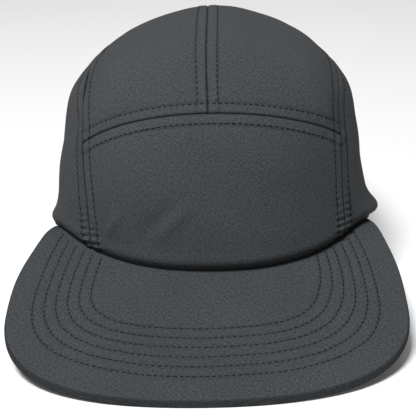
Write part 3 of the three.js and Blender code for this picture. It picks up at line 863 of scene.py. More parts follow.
@dataclass
class Crown:
    """The five panels."""

    plan: SeamPlan
    finish: ClothFinish
    side_creases: dict[Side, tuple[Crease, ...]] = field(
        default_factory=lambda: {
            Side.LEFT: (
                Crease((-61.0, 0.45), (-64.5, 0.3), -1.0, 2.4),
                Crease((-64.0, 0.3), (-72.0, 0.1), 0.8, 3.6),
                Crease((-72.0, 0.4), (-88.0, 0.22), -0.9, 6.0),
                Crease((-100.0, 0.3), (-132.0, 0.1), 0.9, 6.0),
            ),
            Side.RIGHT: (
                Crease((64.0, 0.36), (72.0, 0.12), 0.8, 4.0),
                Crease((96.0, 0.34), (130.0, 0.12), 0.9, 6.0),
            ),
        }
    )
    top_creases: dict[Side, tuple[Crease, ...]] = field(
        default_factory=lambda: {
            Side.LEFT: (
                Crease((-78.1, 0.575), (-59.0, 0.47), -1.3, 2.2),
                Crease((-84.0, 0.56), (-66.0, 0.45), 0.9, 3.2),
                Crease((-66.0, 0.66), (-46.0, 0.5), 0.6, 5.0),
                Crease((-50.0, 0.62), (-24.0, 0.56), 0.5, 6.0),
            ),
            Side.RIGHT: (
                Crease((49.0, 0.48), (54.5, 0.38), 0.7, 2.2),
                Crease((58.0, 0.66), (46.0, 0.5), 0.6, 5.0),
            ),
        }
    )

    def front(self) -> Panel:
        """The front panel."""
        return Panel(
            "front_panel_cloth",
            self.plan,
            near=PanelEdge(self.plan.rim(-self.plan.foot[Side.LEFT], self.plan.foot[Side.RIGHT]), EdgeKind.RIM),
            far=PanelEdge(lambda t: self.plan.front(2 * np.asarray(t) - 1), EdgeKind.SEAM, (0.9, 0.9), 2),
            left=PanelEdge(lambda t: self.plan.side(Side.LEFT, np.asarray(t)), EdgeKind.SEAM, (5.0, 0.7), 4, 3.4),
            right=PanelEdge(lambda t: self.plan.side(Side.RIGHT, np.asarray(t)), EdgeKind.SEAM, (5.5, 0.8), 7, 3.0),
            steps=(128, 80),
            creases=(
                Crease((-30.5, 0.17), (-36.5, 0.065), 1.0, 2.2),
                Crease((-4.0, 0.22), (-18.5, 0.08), 1.2, 3.2),
                Crease((-9.0, 0.2), (-26.0, 0.06), -1.0, 5.0),
                Crease((12.0, 0.44), (30.0, 0.2), 0.5, 7.0),
            ),
        )

    def side(self, side: Side) -> Panel:
        """A side panel."""
        plan = self.plan
        seed, pitch = (4, 3.4) if side is Side.LEFT else (7, 3.0)
        return Panel(
            f"side_panel_{side.name.lower()}_cloth",
            plan,
            near=PanelEdge(plan.rim(side.value * plan.foot[side], side.value * (180 - plan.arch_half_turn)), EdgeKind.RIM),
            far=PanelEdge(lambda t: plan.top(side, t), EdgeKind.SEAM, (1.0, 0.8), seed + 1),
            left=PanelEdge(lambda t: plan.side(side, np.asarray(t)), EdgeKind.SEAM, (5.2, 0.8), seed, pitch),
            right=PanelEdge(lambda t: plan.arch(side, plan.arch_side_share * np.asarray(t)), EdgeKind.HEM, (1.0, 1.0), 9),
            steps=(190, 92),
            creases=self.side_creases[side],
            flip=side is Side.LEFT,
        )

    def top(self, side: Side) -> Panel:
        """A top panel."""
        plan = self.plan
        seed = 4 if side is Side.LEFT else 7
        return Panel(
            f"top_panel_{side.name.lower()}_cloth",
            plan,
            near=PanelEdge(lambda t: plan.front(side.value * np.asarray(t)), EdgeKind.SEAM, (0.9, 0.9), 2),
            far=PanelEdge(
                lambda t: plan.arch(side, 1 + (plan.arch_side_share - 1) * np.asarray(t)), EdgeKind.HEM, (1.0, 1.0), 9
            ),
            left=PanelEdge(plan.centre, EdgeKind.SEAM, (0.8, 0.8), 6),
            right=PanelEdge(lambda t: plan.top(side, t), EdgeKind.SEAM, (1.0, 0.8), seed + 1),
            steps=(64, 208),
            creases=self.top_creases[side],
            flip=side is Side.LEFT,
        )

    def build(self) -> dict[str, bpy.types.Object]:
        """Builds the panels.

        Returns:
            The pieces by the name of the node that each replaces.
        """
        cloth = self.finish.material()
        panels = {"front_panel": self.front()}
        for side in Side:
            panels[f"side_panel_{side.name.lower()}"] = self.side(side)
            panels[f"top_panel_{side.name.lower()}"] = self.top(side)
        pieces = {node: panel.build() for node, panel in panels.items()}
        for piece in pieces.values():
            piece.data.materials.append(cloth)
        return pieces


@dataclass
class Brim:
    """The stiff brim under its cloth, with its rows of stitching, in millimetres from the middle of the crown."""

    form: CrownForm
    finish: ClothFinish
    end_turn: dict[Side, float] = field(default_factory=lambda: {Side.LEFT: 75.7, Side.RIGHT: 80.0})
    swing: float = -1.3
    widest: float = 0.28
    end_pull: float = 0.515
    side_pull: float = 0.5
    corner_pull: float = 0.56
    front_pull: float = 0.72
    gap: float = 0.3
    tuck: float = 3.4
    edge: float = 1.4
    edge_fullness: float = 0.5
    # painted shade on the brim's rounded edge, which faces forward and down
    painted_edge_shade: float = 0.5
    # painted shade along the grooves of the brim's rows of stitching
    painted_line_shade: float = 0.3
    rows: int = 6
    outer_row: tuple[tuple[float, float], ...] = (
        (-67.5, -22), (-74.5, -48), (-78.4, -73), (-76.4, -88.5), (-68.4, -100.3), (-54, -108.8), (-31.2, -115.8),
        (-9.2, -118.1), (12.7, -117.7), (34.7, -115), (52, -109.2), (65.5, -100.5), (72.6, -90.2), (75, -76.5),
        (72.6, -52), (66, -26),
    )
    inner_row: tuple[tuple[float, float], ...] = (
        (-46, -33), (-50.2, -51), (-52.7, -67), (-52.2, -75.5), (-48.7, -81.8), (-40.5, -87.4), (-27.1, -91.3),
        (-9.7, -93.2), (7, -93.1), (24.3, -91.4), (38, -86.9), (45.9, -79.2), (49.6, -68.3), (50.3, -59),
        (49.4, -49.5), (46, -33),
    )

    def outline(self, side: Side, count: int) -> Array:
        """One side of the outline, from its end on the rim to the middle of its front.

        Args:
            side: The side.
            count: How many steps.

        Returns:
            Evenly spaced points (x, y).
        """
        end = self.form.rim_plan(np.array(side.value * self.end_turn[side]))
        tip = self.form.brim_front
        wide_y = -self.form.front_reach + (tip + self.form.front_reach) * self.widest
        wide = np.array([self.swing + side.value * (self.form.half_width + self.form.brim_overhang), wide_y])
        front = np.array([self.swing, tip])
        first = [end, end + (wide - end) * self.end_pull, (wide[0], wide[1] + (end[1] - wide[1]) * self.side_pull), wide]
        second = [
            wide,
            (wide[0], wide[1] + (front[1] - wide[1]) * self.corner_pull),
            (front[0] + (wide[0] - front[0]) * self.front_pull, front[1]),
            front,
        ]
        t = np.linspace(0, 1, 200)[:, None]
        weights = np.concatenate([(1 - t) ** 3, 3 * t * (1 - t) ** 2, 3 * t * t * (1 - t), t**3], 1)
        line = np.concatenate([weights @ np.array(first, float), (weights @ np.array(second, float))[1:]])
        lengths = run_lengths(line)
        even = np.linspace(0, lengths[-1], count + 1)
        return np.stack([np.interp(even, lengths, line[:, i]) for i in (0, 1)], -1)

    def rim_inside(self, turn: Array, inset: float) -> Array:
        """The rim in plan, moved inwards."""
        step = 0.25
        along = unit(self.form.rim_plan(turn + step) - self.form.rim_plan(turn - step))
        return self.form.rim_plan(turn) + np.stack([-along[..., 1], along[..., 0]], -1) * inset

    def stitch_rows(self) -> list[Array]:
        """The rows of stitching in plan, from the outermost to the innermost, cut off at the crown.

        Returns:
            Points (x, y) along each row.
        """
        t = np.linspace(0, 1, 400)
        first, last = (through(np.array(row, float), t) for row in (self.outer_row, self.inner_row))
        found = []
        for i in range(self.rows):
            line = first + (last - first) * i / (self.rows - 1)
            turn = np.degrees(np.arctan2(line[:, 0] / self.form.half_width, -line[:, 1] / self.form.front_reach))
            outside = np.linalg.norm(line, axis=1) > np.linalg.norm(self.form.rim_plan(turn), axis=1) + 0.4
            found.append(line[outside])
        return found

    def build(self) -> bpy.types.Object:
        """The brim's object.

        Returns:
            A closed board with a rounded edge and a groove along each row.
        """
        half, across = 150, 58
        left, right = self.outline(Side.LEFT, half), self.outline(Side.RIGHT, half)
        outer = np.concatenate([left, right[-2::-1]])
        turns = np.concatenate(
            [np.linspace(-self.end_turn[Side.LEFT], 0, half + 1), np.linspace(0, self.end_turn[Side.RIGHT], half + 1)[1:]]
        )
        inner = self.rim_inside(turns, self.tuck)
        width = np.linalg.norm(outer - inner, axis=1)
        edge = np.minimum(self.edge, 0.4 * width)
        flat = np.linspace(0, 1, across + 1)[None, :] * (width - edge)[:, None]
        angles = np.radians(np.linspace(0, 90, 9)[1:])
        rounded = (width - edge)[:, None] + edge[:, None] * (np.sin(angles) ** self.edge_fullness)[None]
        reach = np.concatenate([flat, rounded], 1)
        drop = np.concatenate([np.zeros(across + 1), (1 - np.cos(angles) ** self.edge_fullness) / 2])
        outwards = unit(outer - inner)[:, None]
        plan = inner[:, None] + outwards * reach[..., None]
        down = np.broadcast_to(drop * self.form.brim_thickness, reach.shape)
        bent = np.hypot(np.diff(reach, axis=1), np.diff(down, axis=1)).cumsum(axis=1)
        cloth = np.concatenate([plan[:, :1], inner[:, None] + outwards * bent[..., None]], 1)
        heights, tone = (part.reshape(plan.shape[:2]) for part in self.heights(plan.reshape(-1, 2)))
        # painted shade darkens the brim's rounded edge
        tone = tone - self.painted_edge_shade * smooth((reach - (width - edge)[:, None]) / edge[:, None] * 1.6)
        top = self.form.seat_height(plan[..., 0], plan[..., 1]) - self.gap
        thick = self.form.brim_thickness
        level = 1 - np.minimum(1, drop * 2)
        upper = np.concatenate([plan, (top - drop * thick + heights * level)[..., None]], -1)
        lower = np.concatenate([plan, (top - (1 - drop) * thick - heights * level)[..., None]], -1)
        piece = mesh_object("brim_cloth_over_board", *shell(upper[::-1], lower[::-1], cloth[::-1] / 10), tone[::-1])
        piece.data.materials.append(self.finish.material())
        return piece

    def heights(self, plan: Array) -> tuple[Array, Array]:
        """The relief of the cloth over the board.

        Args:
            plan: Points (x, y).

        Returns:
            Heights over the plain face, and the painted shade along the rows' grooves.
        """
        total = 0.16 * unevenness(np.concatenate([plan, np.zeros((len(plan), 1))], 1), 17.0, 8)
        nearest = np.full(len(plan), np.inf)
        for i, row in enumerate(self.stitch_rows()):
            distance, along = nearest_on(row, plan)
            nearest = np.minimum(nearest, distance)
            ripple = 0.05 * np.sin(2 * np.pi * along / 5.9 + 1.7 * i + np.sin(along / 11.0))
            total += ripple * np.exp(-((distance / 1.8) ** 2))
        total += 0.1 * np.exp(-(((nearest - 2.5) / 1.3) ** 2)) - 0.2 * np.exp(-((nearest / 0.8) ** 2))
        # painted shade in the rows' grooves
        return total, -self.painted_line_shade * np.exp(-((nearest / 0.55) ** 2))


@dataclass
class BackRun:
    """Places behind the back of the rim, as a length along it from its middle, a depth and a height."""

    form: CrownForm

    def turn(self, length: Array) -> Array:
        """Turns at lengths along the rim from the middle of the back, towards +X where they are positive."""
        turns = np.linspace(180, 60, 961)
        lengths = run_lengths(self.form.rim_plan(turns))
        found = np.interp(np.abs(length), lengths, turns)
        return np.where(np.asarray(length) < 0, 360 - found, found)

    def length(self, turn: float) -> float:
        """The length along the rim between the middle of the back and a turn."""
        turns = np.linspace(180, turn, 400)
        return float(run_lengths(self.form.rim_plan(turns))[-1])

    def point(self, along: Array, depth: Array, height: Array) -> Array:
        """Points behind the opening.

        Args:
            along: Lengths along the rim.
            depth: Depths under the crown's face.
            height: Heights above the rim.

        Returns:
            Points (x, y, z).
        """
        along, depth, height = np.broadcast_arrays(along, depth, height)
        return self.form.under(on_disc(self.turn(along), self.form.up_at(height)), depth)


@dataclass
class Sweatband:
    """The band inside the rim, with a turned edge."""

    plan: SeamPlan
    finish: ClothFinish
    height: float = 30.0
    thickness: float = 1.2
    depth: float = 2.3
    end_length: float = 51.6

    def build(self) -> bpy.types.Object:
        """The band's object.

        Returns:
            A closed shell that is a little thicker along its turned upper edge.
        """
        form = self.plan.form
        end = float(BackRun(form).turn(np.array(self.end_length)))
        turns = np.linspace(-end, end, 241)[:, None]
        up = np.linspace(0, 1, 22)[None, :]
        spots = on_disc(turns + 0 * up, form.up_at(self.height) * up + 0 * turns)
        plain = form.point(spots)
        wave = 0.25 * unevenness(plain, 21.0, 11)
        outer = form.under(spots, self.depth + 0 * wave)
        inner = form.under(spots, self.depth + self.thickness + 0.5 * (up > 0.8) * np.ones_like(turns) + wave)
        for grid in (outer, inner):
            grid[:, 0, 2] = form.seat_height(grid[:, 0, 0], grid[:, 0, 1])
        along = np.stack([run_lengths(plain[:, j]) for j in range(plain.shape[1])], 1)
        uvs = np.stack(np.broadcast_arrays(along, up * self.height), -1) / 10
        piece = mesh_object("sweatband_cloth", *shell(outer, inner, uvs))
        piece.data.materials.append(self.finish.material())
        return piece


@dataclass
class BackStraps:
    """The webbing straps and the slide buckle that close the opening."""

    plan: SeamPlan
    webbing: ClothFinish
    plastic: PlainFinish
    width: float = 20.0
    thickness: float = 1.2
    raise_by: float = 2.8
    sewn: float = 12.0
    tail: float = 16.0
    clearance: float = 0.4
    band_depth: float = 2.3
    buckle_length: float = 30.0
    buckle_thickness: float = 1.6
    bar: float = 3.0
    rail: float = 1.9

    def __post_init__(self) -> None:
        """Works out the depths that the straps and the buckle share."""
        self.run = BackRun(self.plan.form)
        self.foot = self.run.length(180 - self.plan.arch_half_turn)
        self.strap_depth = self.band_depth + self.thickness / 2
        self.buckle_depth = self.strap_depth + self.thickness / 2
        self.over = self.buckle_thickness / 2 + self.clearance + self.thickness / 2
        self.bar_middle = (self.buckle_length - self.bar) / 2

    def eased(self, places: list[tuple[float, float]]) -> Array:
        """A path of lengths and depths through places, with its depth eased from each to the next.

        Args:
            places: The places.

        Returns:
            The path in steps of about a millimetre.
        """
        path = [np.array([places[0]])]
        for start, end in zip(places, places[1:]):
            steps = max(2, math.ceil(math.dist(start, end)))
            s = np.linspace(0, 1, steps + 1)[1:]
            path.append(np.stack([start[0] + (end[0] - start[0]) * s, start[1] + (end[1] - start[1]) * smooth(s)], -1))
        return np.concatenate(path)

    def long_path(self) -> Array:
        """The strap from the left: behind the first bar, over the middle one and behind the last one."""
        behind = self.buckle_depth + self.over
        loop = behind + self.thickness + self.clearance
        front = self.buckle_depth - self.over
        return self.eased(
            [
                (-self.foot - self.sewn, self.strap_depth),
                (-self.foot, self.strap_depth),
                (-self.bar_middle, behind),
                (-self.bar / 2, front),
                (self.bar / 2, front),
                (self.bar_middle - self.bar, loop),
                (self.buckle_length / 2 + self.tail, loop),
            ]
        )

    def short_path(self) -> Array:
        """The strap from the right: over the last bar, round it and back behind it."""
        first = self.eased(
            [
                (self.foot + self.sewn, self.strap_depth),
                (self.foot, self.strap_depth),
                (self.buckle_length / 2, self.buckle_depth - self.over),
            ]
        )
        middle = self.bar_middle - self.bar / 2 - self.clearance - self.thickness / 2 + self.over
        angles = np.radians(np.linspace(0, 180, 17))
        loop = np.stack([middle - self.over * np.sin(angles), self.buckle_depth - self.over * np.cos(angles)], -1)
        end = np.array([[self.buckle_length / 2 + self.sewn / 2, self.buckle_depth + self.over]])
        return np.concatenate([first, loop, end])

    def strap(self, name: str, path: Array) -> bpy.types.Object:
        """Webbing along a path.

        Args:
            name: The piece's name.
            path: Lengths and depths along the strap.

        Returns:
            A closed band with rounded edges and its cloth coordinates.
        """
        ahead = unit(np.gradient(path, axis=0))
        aside = np.stack([-ahead[:, 1], ahead[:, 0]], -1)
        half, round_off = self.thickness / 2, 0.5
        heights = np.concatenate([[0, 0.15, round_off], np.linspace(1.5, self.width - 1.5, 16), self.width - np.array([round_off, 0.15, 0])])
        edge = np.minimum(heights, self.width - heights)
        thin = half * np.sqrt(np.clip(1 - (1 - np.minimum(edge / round_off, 1)) ** 2, 0.09, 1))
        ring_height = np.concatenate([heights, heights[::-1]])
        ring_aside = np.concatenate([-thin, thin[::-1]])
        places = path[:, None] + aside[:, None] * ring_aside[None, :, None]
        points = self.run.point(places[..., 0], places[..., 1], self.raise_by + ring_height[None])
        rows, columns = points.shape[:2]
        grid = np.arange(rows * columns).reshape(rows, columns)
        after = np.roll(grid, -1, axis=1)
        faces = [tuple(f) for f in np.stack([grid[:-1], grid[1:], after[1:], after[:-1]], -1).reshape(-1, 4).tolist()]
        faces += [tuple(grid[0].tolist()), tuple(grid[-1, ::-1].tolist())]
        along = run_lengths(path)[:, None] + 0 * ring_height[None]
        uvs = np.stack([along, ring_height[None] + 0 * along], -1).reshape(-1, 2) / 10
        piece = mesh_object(name, points.reshape(-1, 3), faces, uvs)
        outward(piece)
        piece.data.materials.append(self.webbing.material())
        return piece

    def buckle(self) -> bpy.types.Object:
        """The slide buckle: two rails and three bars with rounded edges.

        Returns:
            One closed mesh.
        """
        half, bar = self.buckle_length / 2, self.bar / 2
        stops = [-half, -half + self.bar, -bar, bar, half - self.bar, half]
        foot, head = self.raise_by - 0.3, self.raise_by + self.width + 0.3
        heights = [foot - self.rail, foot, head, head + self.rail]
        depths = [self.buckle_depth - self.buckle_thickness / 2, self.buckle_depth + self.buckle_thickness / 2]
        points, faces = [], []
        solid = {(i, j) for i in range(5) for j in range(3) if j != 1 or i % 2 == 0}
        index = {
            (i, j, k): i * 8 + j * 2 + k for i in range(6) for j in range(4) for k in range(2)
        }
        for i in range(6):
            for j in range(4):
                for k in range(2):
                    points.append(self.run.point(np.array(stops[i]), np.array(depths[k]), np.array(heights[j])))
        for i, j in sorted(solid):
            ring = [(i, j), (i + 1, j), (i + 1, j + 1), (i, j + 1)]
            faces.append(tuple(index[(*c, 0)] for c in ring))
            faces.append(tuple(index[(*c, 1)] for c in reversed(ring)))
            for step, (a, b) in zip([(0, -1), (1, 0), (0, 1), (-1, 0)], zip(ring, ring[1:] + ring[:1])):
                if (i + step[0], j + step[1]) not in solid:
                    faces.append((index[(*a, 1)], index[(*b, 1)], index[(*b, 0)], index[(*a, 0)]))
        piece = mesh_object("slide_buckle", np.array(points), faces)
        outward(piece)
        bevel = piece.modifiers.new("rounded_edges", "BEVEL")
        bevel.width, bevel.segments, bevel.limit_method = 0.00045, 3, "ANGLE"
        apply_modifiers(piece)
        piece.data.materials.append(self.plastic.material())
        return piece

    def build(self) -> dict[str, bpy.types.Object]:
        """Builds the straps and the buckle.

        Returns:
            The pieces by the name of the node that each replaces.
        """
        return {
            "strap_left": self.strap("strap_left_webbing", self.long_path()),
            "strap_right": self.strap("strap_right_webbing", self.short_path()),
            "buckle": self.buckle(),
        }


def outward(piece: bpy.types.Object) -> None:
    """Merges a mesh's doubles and turns its faces outwards."""
    work = bmesh.new()
    work.from_mesh(piece.data)
    bmesh.ops.remove_doubles(work, verts=work.verts, dist=1e-7)
    bmesh.ops.recalc_face_normals(work, faces=work.faces)
    work.to_mesh(piece.data)
    work.free()


def apply_modifiers(piece: bpy.types.Object) -> None:
    """Replaces a piece's mesh by its evaluated one and removes its modifiers."""
    bpy.context.view_layer.update()
    evaluated = piece.evaluated_get(bpy.context.evaluated_depsgraph_get())
    mesh = bpy.data.meshes.new_from_object(evaluated)
    piece.modifiers.clear()
    piece.data = mesh


@dataclass(frozen=True)
class StitchTree:
    """A Geometry Nodes tree that lays stitches along the edges of a mesh, with sizes in metres."""

    pitch: float = 0.0027
    length: float = 0.0021
    thickness: float = 0.00054
    sink: float = 0.00005
    seed: int = 5

    def group(self, thread: bpy.types.Material) -> bpy.types.NodeTree:
        """Builds the tree.

        Args:
            thread: The stitches' material.

        Returns:
            The tree, whose inputs are named for the sizes.
        """
        tree = bpy.data.node_groups.new("stitch_rows", "GeometryNodeTree")
        face = tree.interface
        face.new_socket("Geometry", in_out="INPUT", socket_type="NodeSocketGeometry")
        for label in ("Pitch", "Length", "Thickness", "Sink"):
            face.new_socket(label, in_out="INPUT", socket_type="NodeSocketFloat")
        face.new_socket("Seed", in_out="INPUT", socket_type="NodeSocketInt")
        face.new_socket("Geometry", in_out="OUTPUT", socket_type="NodeSocketGeometry")
        nodes, links = tree.nodes, tree.links
        given, result = nodes.new("NodeGroupInput"), nodes.new("NodeGroupOutput")
        curve = nodes.new("GeometryNodeMeshToCurve")
        even = nodes.new("GeometryNodeResampleCurve")
        even.mode = "LENGTH"
        links.new(given.outputs["Geometry"], curve.inputs["Mesh"])
        links.new(curve.outputs["Curve"], even.inputs["Curve"])
        links.new(given.outputs["Pitch"], even.inputs["Length"])
        bead = nodes.new("GeometryNodeMeshUVSphere")
        bead.inputs["Segments"].default_value = 8
        bead.inputs["Rings"].default_value = 6
        bead.inputs["Radius"].default_value = 0.5
        size = nodes.new("ShaderNodeCombineXYZ")
        links.new(given.outputs["Length"], size.inputs["X"])
        links.new(given.outputs["Thickness"], size.inputs["Y"])
        links.new(given.outputs["Thickness"], size.inputs["Z"])
        normal = nodes.new("GeometryNodeInputNamedAttribute")
        normal.data_type = "FLOAT_VECTOR"
        normal.inputs["Name"].default_value = "cloth_normal"
        tangent = nodes.new("GeometryNodeInputTangent")
        along = nodes.new("FunctionNodeAlignRotationToVector")
        along.axis = "X"
        links.new(tangent.outputs["Tangent"], along.inputs["Vector"])
        upright = nodes.new("FunctionNodeAlignRotationToVector")
        upright.axis = "Z"
        upright.pivot_axis = "X"
        links.new(along.outputs["Rotation"], upright.inputs["Rotation"])
        links.new(normal.outputs["Attribute"], upright.inputs["Vector"])
        vary = nodes.new("FunctionNodeRandomValue")
        vary.data_type = "FLOAT"
        links.new(given.outputs["Seed"], vary.inputs["Seed"])
        vary.inputs[2].default_value, vary.inputs[3].default_value = 0.9, 1.08
        scale = nodes.new("ShaderNodeVectorMath")
        scale.operation = "SCALE"
        links.new(size.outputs["Vector"], scale.inputs[0])
        links.new(vary.outputs[1], scale.inputs["Scale"])
        lower = nodes.new("GeometryNodeSetPosition")
        down = nodes.new("ShaderNodeVectorMath")
        down.operation = "SCALE"
        minus = nodes.new("ShaderNodeMath")
        minus.operation = "MULTIPLY"
        minus.inputs[1].default_value = -1
        links.new(given.outputs["Sink"], minus.inputs[0])
        links.new(normal.outputs["Attribute"], down.inputs[0])
        links.new(minus.outputs["Value"], down.inputs["Scale"])
        links.new(even.outputs["Curve"], lower.inputs["Geometry"])
        links.new(down.outputs["Vector"], lower.inputs["Offset"])
        place = nodes.new("GeometryNodeInstanceOnPoints")
        links.new(lower.outputs["Geometry"], place.inputs["Points"])
        links.new(bead.outputs["Mesh"], place.inputs["Instance"])
        links.new(upright.outputs["Rotation"], place.inputs["Rotation"])
        links.new(scale.outputs["Vector"], place.inputs["Scale"])
        real = nodes.new("GeometryNodeRealizeInstances")
        dress = nodes.new("GeometryNodeSetMaterial")
        dress.inputs["Material"].default_value = thread
        links.new(place.outputs["Instances"], real.inputs["Geometry"])
        links.new(real.outputs["Geometry"], dress.inputs["Geometry"])
        links.new(dress.outputs["Geometry"], result.inputs["Geometry"])
        return tree

    def lay(self, name: str, lines: list[tuple[Array, Array]], tree: bpy.types.NodeTree) -> bpy.types.Object:
        """Lays stitches along lines.

        Args:
            name: The piece's name.
            lines: Points in metres and the cloth's normals along each row.
            tree: The tree that this class built.

        Returns:
            One mesh of stitches.
        """
        points = np.concatenate([line for line, _ in lines])
        normals = np.concatenate([normal for _, normal in lines])
        edges, start = [], 0
        for line, _ in lines:
            edges += [(i, i + 1) for i in range(start, start + len(line) - 1)]
            start += len(line)
        mesh = bpy.data.meshes.new(name)
        mesh.from_pydata(points.tolist(), edges, [])
        attribute = mesh.attributes.new("cloth_normal", "FLOAT_VECTOR", "POINT")
        attribute.data.foreach_set("vector", normals.astype(np.float32).ravel())
        piece = bpy.data.objects.new(name, mesh)
        bpy.context.scene.collection.objects.link(piece)
        modifier = piece.modifiers.new("stitches", "NODES")
        modifier.node_group = tree
        values = {
            "Pitch": self.pitch,
            "Length": self.length,
            "Thickness": self.thickness,
            "Sink": self.sink,
            "Seed": self.seed,
        }
        for item in tree.interface.items_tree:
            if item.in_out == "INPUT" and item.name in values:
                modifier[item.identifier] = values[item.name]
        apply_modifiers(piece)
        piece.data.polygons.foreach_set("use_smooth", [True] * len(piece.data.polygons))
        return piece


@dataclass
class Stitching:
    """All the rows of stitches, laid on the faces of the cloth pieces."""

    plan: SeamPlan
    brim: Brim
    thread: PlainFinish
    beside_seam: float = 5.0
    beside_front: float = 4.4
    tacks: tuple[float, ...] = (18.5, 20.2)
    tree: StitchTree = StitchTree()

    def crown_rows(self) -> list[Array]:
        """The rows on the outside of the crown.

        Returns:
            Points (x, y, z) in millimetres near the cloth, for each row.
        """
        plan, off = self.plan, self.beside_seam
        front = plan.evenly(lambda t: plan.front(2 * np.asarray(t) - 1))
        centre = plan.evenly(plan.centre)
        rows = [
            plan.beside(front, self.beside_front, np.linspace(0.035, 0.965, 180)),
            plan.beside(front, -self.beside_front, np.linspace(0.03, 0.97, 180)),
            plan.beside(centre, off, np.linspace(0.025, 0.985, 240)),
            plan.beside(centre, -off, np.linspace(0.025, 0.985, 240)),
        ]
        for side in Side:
            inwards = side.value * off
            seam = plan.evenly(lambda t, side=side: plan.side(side, np.asarray(t)))
            top = plan.evenly(lambda t, side=side: plan.top(side, t))
            rows += [
                plan.beside(seam, inwards, np.linspace(0.02, 0.93, 90)),
                plan.beside(seam, -inwards, np.linspace(0.02, 1.0, 90)),
                plan.beside(top, inwards, np.linspace(0.0, 0.985, 240)),
                plan.beside(top, -inwards, np.linspace(0.0, 0.985, 240)),
            ]
            arch = plan.evenly(lambda t, side=side: plan.arch(side, np.asarray(t)))
            rows.append(plan.beside(arch, inwards, np.linspace(0.03, 1.0, 90)))
            rim = plan.evenly(plan.rim(side.value * 84.0, side.value * (178 - plan.arch_half_turn)))
            rows.append(plan.beside(rim, side.value * 3.2, np.linspace(0.0, 0.98, 160)))
        return rows

    def brim_rows(self, upper: bool) -> list[Array]:
        """The rows on one face of the brim.

        Args:
            upper: Whether it is the upper face.

        Returns:
            Points (x, y, z) in millimetres near the cloth, for each row.
        """
        form = self.plan.form
        depth = self.brim.gap if upper else self.brim.gap + form.brim_thickness
        found = []
        for row in self.brim.stitch_rows():
            height = form.seat_height(row[:, 0], row[:, 1]) - depth
            found.append(np.concatenate([row, height[:, None]], 1))
        return found

    def inside(self, rows: list[tuple[Array, Array]], surface: BVHTree) -> list[tuple[Array, Array]]:
        """The same rows on the inner face of the cloth.

        Args:
            rows: Points in metres and normals of rows on the outer face.
            surface: The cloth's faces, in metres.

        Returns:
            Points in metres and normals on the inner face.
        """
        through_cloth = 1.6 * self.plan.form.cloth / 1000
        return [on_surface(points - normals * through_cloth, surface) for points, normals in rows]

    def tack_rows(self, straps: BackStraps) -> list[Array]:
        """The rows across the webbing that hold its folded end.

        Args:
            straps: The straps.

        Returns:
            Points (x, y, z) in millimetres near the webbing, for each row.
        """
        heights = straps.raise_by + np.linspace(1.5, straps.width - 1.5, 30)
        return [straps.run.point(np.full(30, at), np.zeros(30), heights) for at in self.tacks]

    def build(self, cloth: dict[str, bpy.types.Object], straps: BackStraps) -> list[bpy.types.Object]:
        """Lays the rows.

        Args:
            cloth: The cloth pieces by the name of the node that each replaces.
            straps: The straps.

        Returns:
            The stitch pieces.
        """
        group = self.tree.group(self.thread.material())
        panels = [piece for node, piece in cloth.items() if "panel" in node]
        crown, brim, strap = surface_of(panels), surface_of([cloth["brim"]]), surface_of([cloth["strap_right"]])
        outside = [snap(row, crown) for row in self.crown_rows()]
        return [
            self.tree.lay("crown_stitches", outside, group),
            self.tree.lay("crown_stitches_inside", self.inside(outside, crown), group),
            self.tree.lay("brim_stitches", [snap(row, brim) for row in self.brim_rows(True)], group),
            self.tree.lay("brim_stitches_under", [snap(row, brim) for row in self.brim_rows(False)], group),
            self.tree.lay("strap_stitches", [snap(row, strap) for row in self.tack_rows(straps)], group),
        ]


def surface_of(pieces: list[bpy.types.Object]) -> BVHTree:
    """A search tree of several pieces' faces."""
    points, faces = [], []
    for piece in pieces:
        start = len(points)
        points += [v.co.copy() for v in piece.data.vertices]
        faces += [tuple(i + start for i in p.vertices) for p in piece.data.polygons]
    return BVHTree.FromPolygons(points, faces)


def snap(row: Array, surface: BVHTree) -> tuple[Array, Array]:
    """Moves a row onto the cloth.

    Args:
        row: Points in millimetres from the middle of the crown.
        surface: The cloth's faces, in metres.

    Returns:
        Points in metres and the cloth's normals.
    """
    return on_surface((row + np.array([*CrownForm().centre, 0.0])) / 1000, surface)


def on_surface(points: Array, surface: BVHTree) -> tuple[Array, Array]:
    """Moves a row of points in metres onto the cloth.

    Args:
        points: Points in metres.
        surface: The cloth's faces, in metres.

    Returns:
        Points in metres and the cloth's normals.
    """
    found = [surface.find_nearest(Vector(p)) for p in points]
    normals = np.array([hit[1][:] for hit in found])
    smoothed = normals.copy()
    smoothed[1:-1] = normals[:-2] + normals[1:-1] + normals[2:]
    return np.array([hit[0][:] for hit in found]), unit(smoothed)


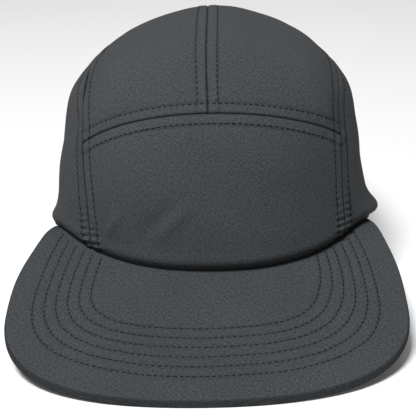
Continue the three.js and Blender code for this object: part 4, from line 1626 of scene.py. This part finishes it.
@dataclass
class Studio:
    """The floor, the lights and the camera, in metres."""

    camera_place: tuple[float, float, float] = (0.01495, -0.52546, 0.24141)
    camera_turns: tuple[float, float, float] = (68.7171, 1.585, 1.0163)
    lens: float = 97.89
    floor_colour: tuple[float, float, float] = (0.74, 0.74, 0.74)
    floor_half: float = 30.0
    sky: float = 0.15
    lights: tuple[tuple[str, tuple[float, float, float], float, float], ...] = (
        ("front_above", (-0.36, -0.85, 1.62), 0.5, 50.0),
        ("behind", (0.3, 1.7, 1.4), 1.2, 9.0),
    )

    def build(self) -> None:
        """Makes the floor, the lights, the sky and the camera."""
        scene = bpy.context.scene
        scene.view_settings.view_transform = "Standard"
        world = bpy.data.worlds.new("studio")
        scene.world = world
        world.use_nodes = True
        background = world.node_tree.nodes["Background"]
        background.inputs["Color"].default_value = (1, 1, 1, 1)
        background.inputs["Strength"].default_value = self.sky
        mesh = bpy.data.meshes.new("floor")
        half = self.floor_half
        mesh.from_pydata([(-half, -half, 0), (half, -half, 0), (half, half, 0), (-half, half, 0)], [], [(0, 1, 2, 3)])
        floor = bpy.data.objects.new("floor", mesh)
        scene.collection.objects.link(floor)
        material, _, _, shader = new_material("floor_paper")
        shader.inputs["Base Color"].default_value = (*self.floor_colour, 1)
        shader.inputs["Roughness"].default_value = 0.9
        shader.inputs["Emission Color"].default_value = (1, 1, 1, 1)
        shader.inputs["Emission Strength"].default_value = self.sky * (1 - self.floor_colour[0])
        mesh.materials.append(material)
        for name, place, size, power in self.lights:
            light = bpy.data.lights.new(name, "AREA")
            light.size, light.energy = size, power
            lamp = bpy.data.objects.new(name, light)
            lamp.location = place
            lamp.rotation_euler = (Vector((0, 0, 0.06)) - Vector(place)).to_track_quat("-Z", "Y").to_euler()
            scene.collection.objects.link(lamp)
        lens = bpy.data.cameras.new("camera")
        lens.lens, lens.sensor_width, lens.clip_start = self.lens, 36.0, 0.01
        camera = bpy.data.objects.new("camera", lens)
        camera.location = self.camera_place
        camera.rotation_euler = [math.radians(turn) for turn in self.camera_turns]
        scene.collection.objects.link(camera)
        scene.camera = camera


def main() -> None:
    """Builds the cap over its frame."""
    logging.basicConfig(level=logging.INFO, format="%(name)s: %(message)s")
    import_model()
    slots = {"brim": "brim_fabric", "sweatband": "sweatband_fabric", "buckle": "buckle_plastic"}
    slots |= {"strap_left": "strap_webbing", "strap_right": "strap_webbing"}
    finishes = Wardrobe()
    form = CrownForm()
    plan = SeamPlan(form)
    Studio().build()
    brim = Brim(form, finishes.brim)
    cloth = Crown(plan, finishes.crown).build()
    cloth["brim"] = brim.build()
    cloth["sweatband"] = Sweatband(plan, finishes.band).build()
    straps = BackStraps(plan, finishes.webbing, finishes.plastic)
    cloth |= straps.build()
    for node, piece in cloth.items():
        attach(piece, "root")
        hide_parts(node)
        log.info("%s stands for %s with %d faces", piece.name, node, len(piece.data.polygons))
    for piece in Stitching(plan, brim, finishes.thread).build(cloth, straps):
        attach(piece, "root")
        log.info("%s has %d faces", piece.name, len(piece.data.polygons))


if __name__ == "__main__":
    main()
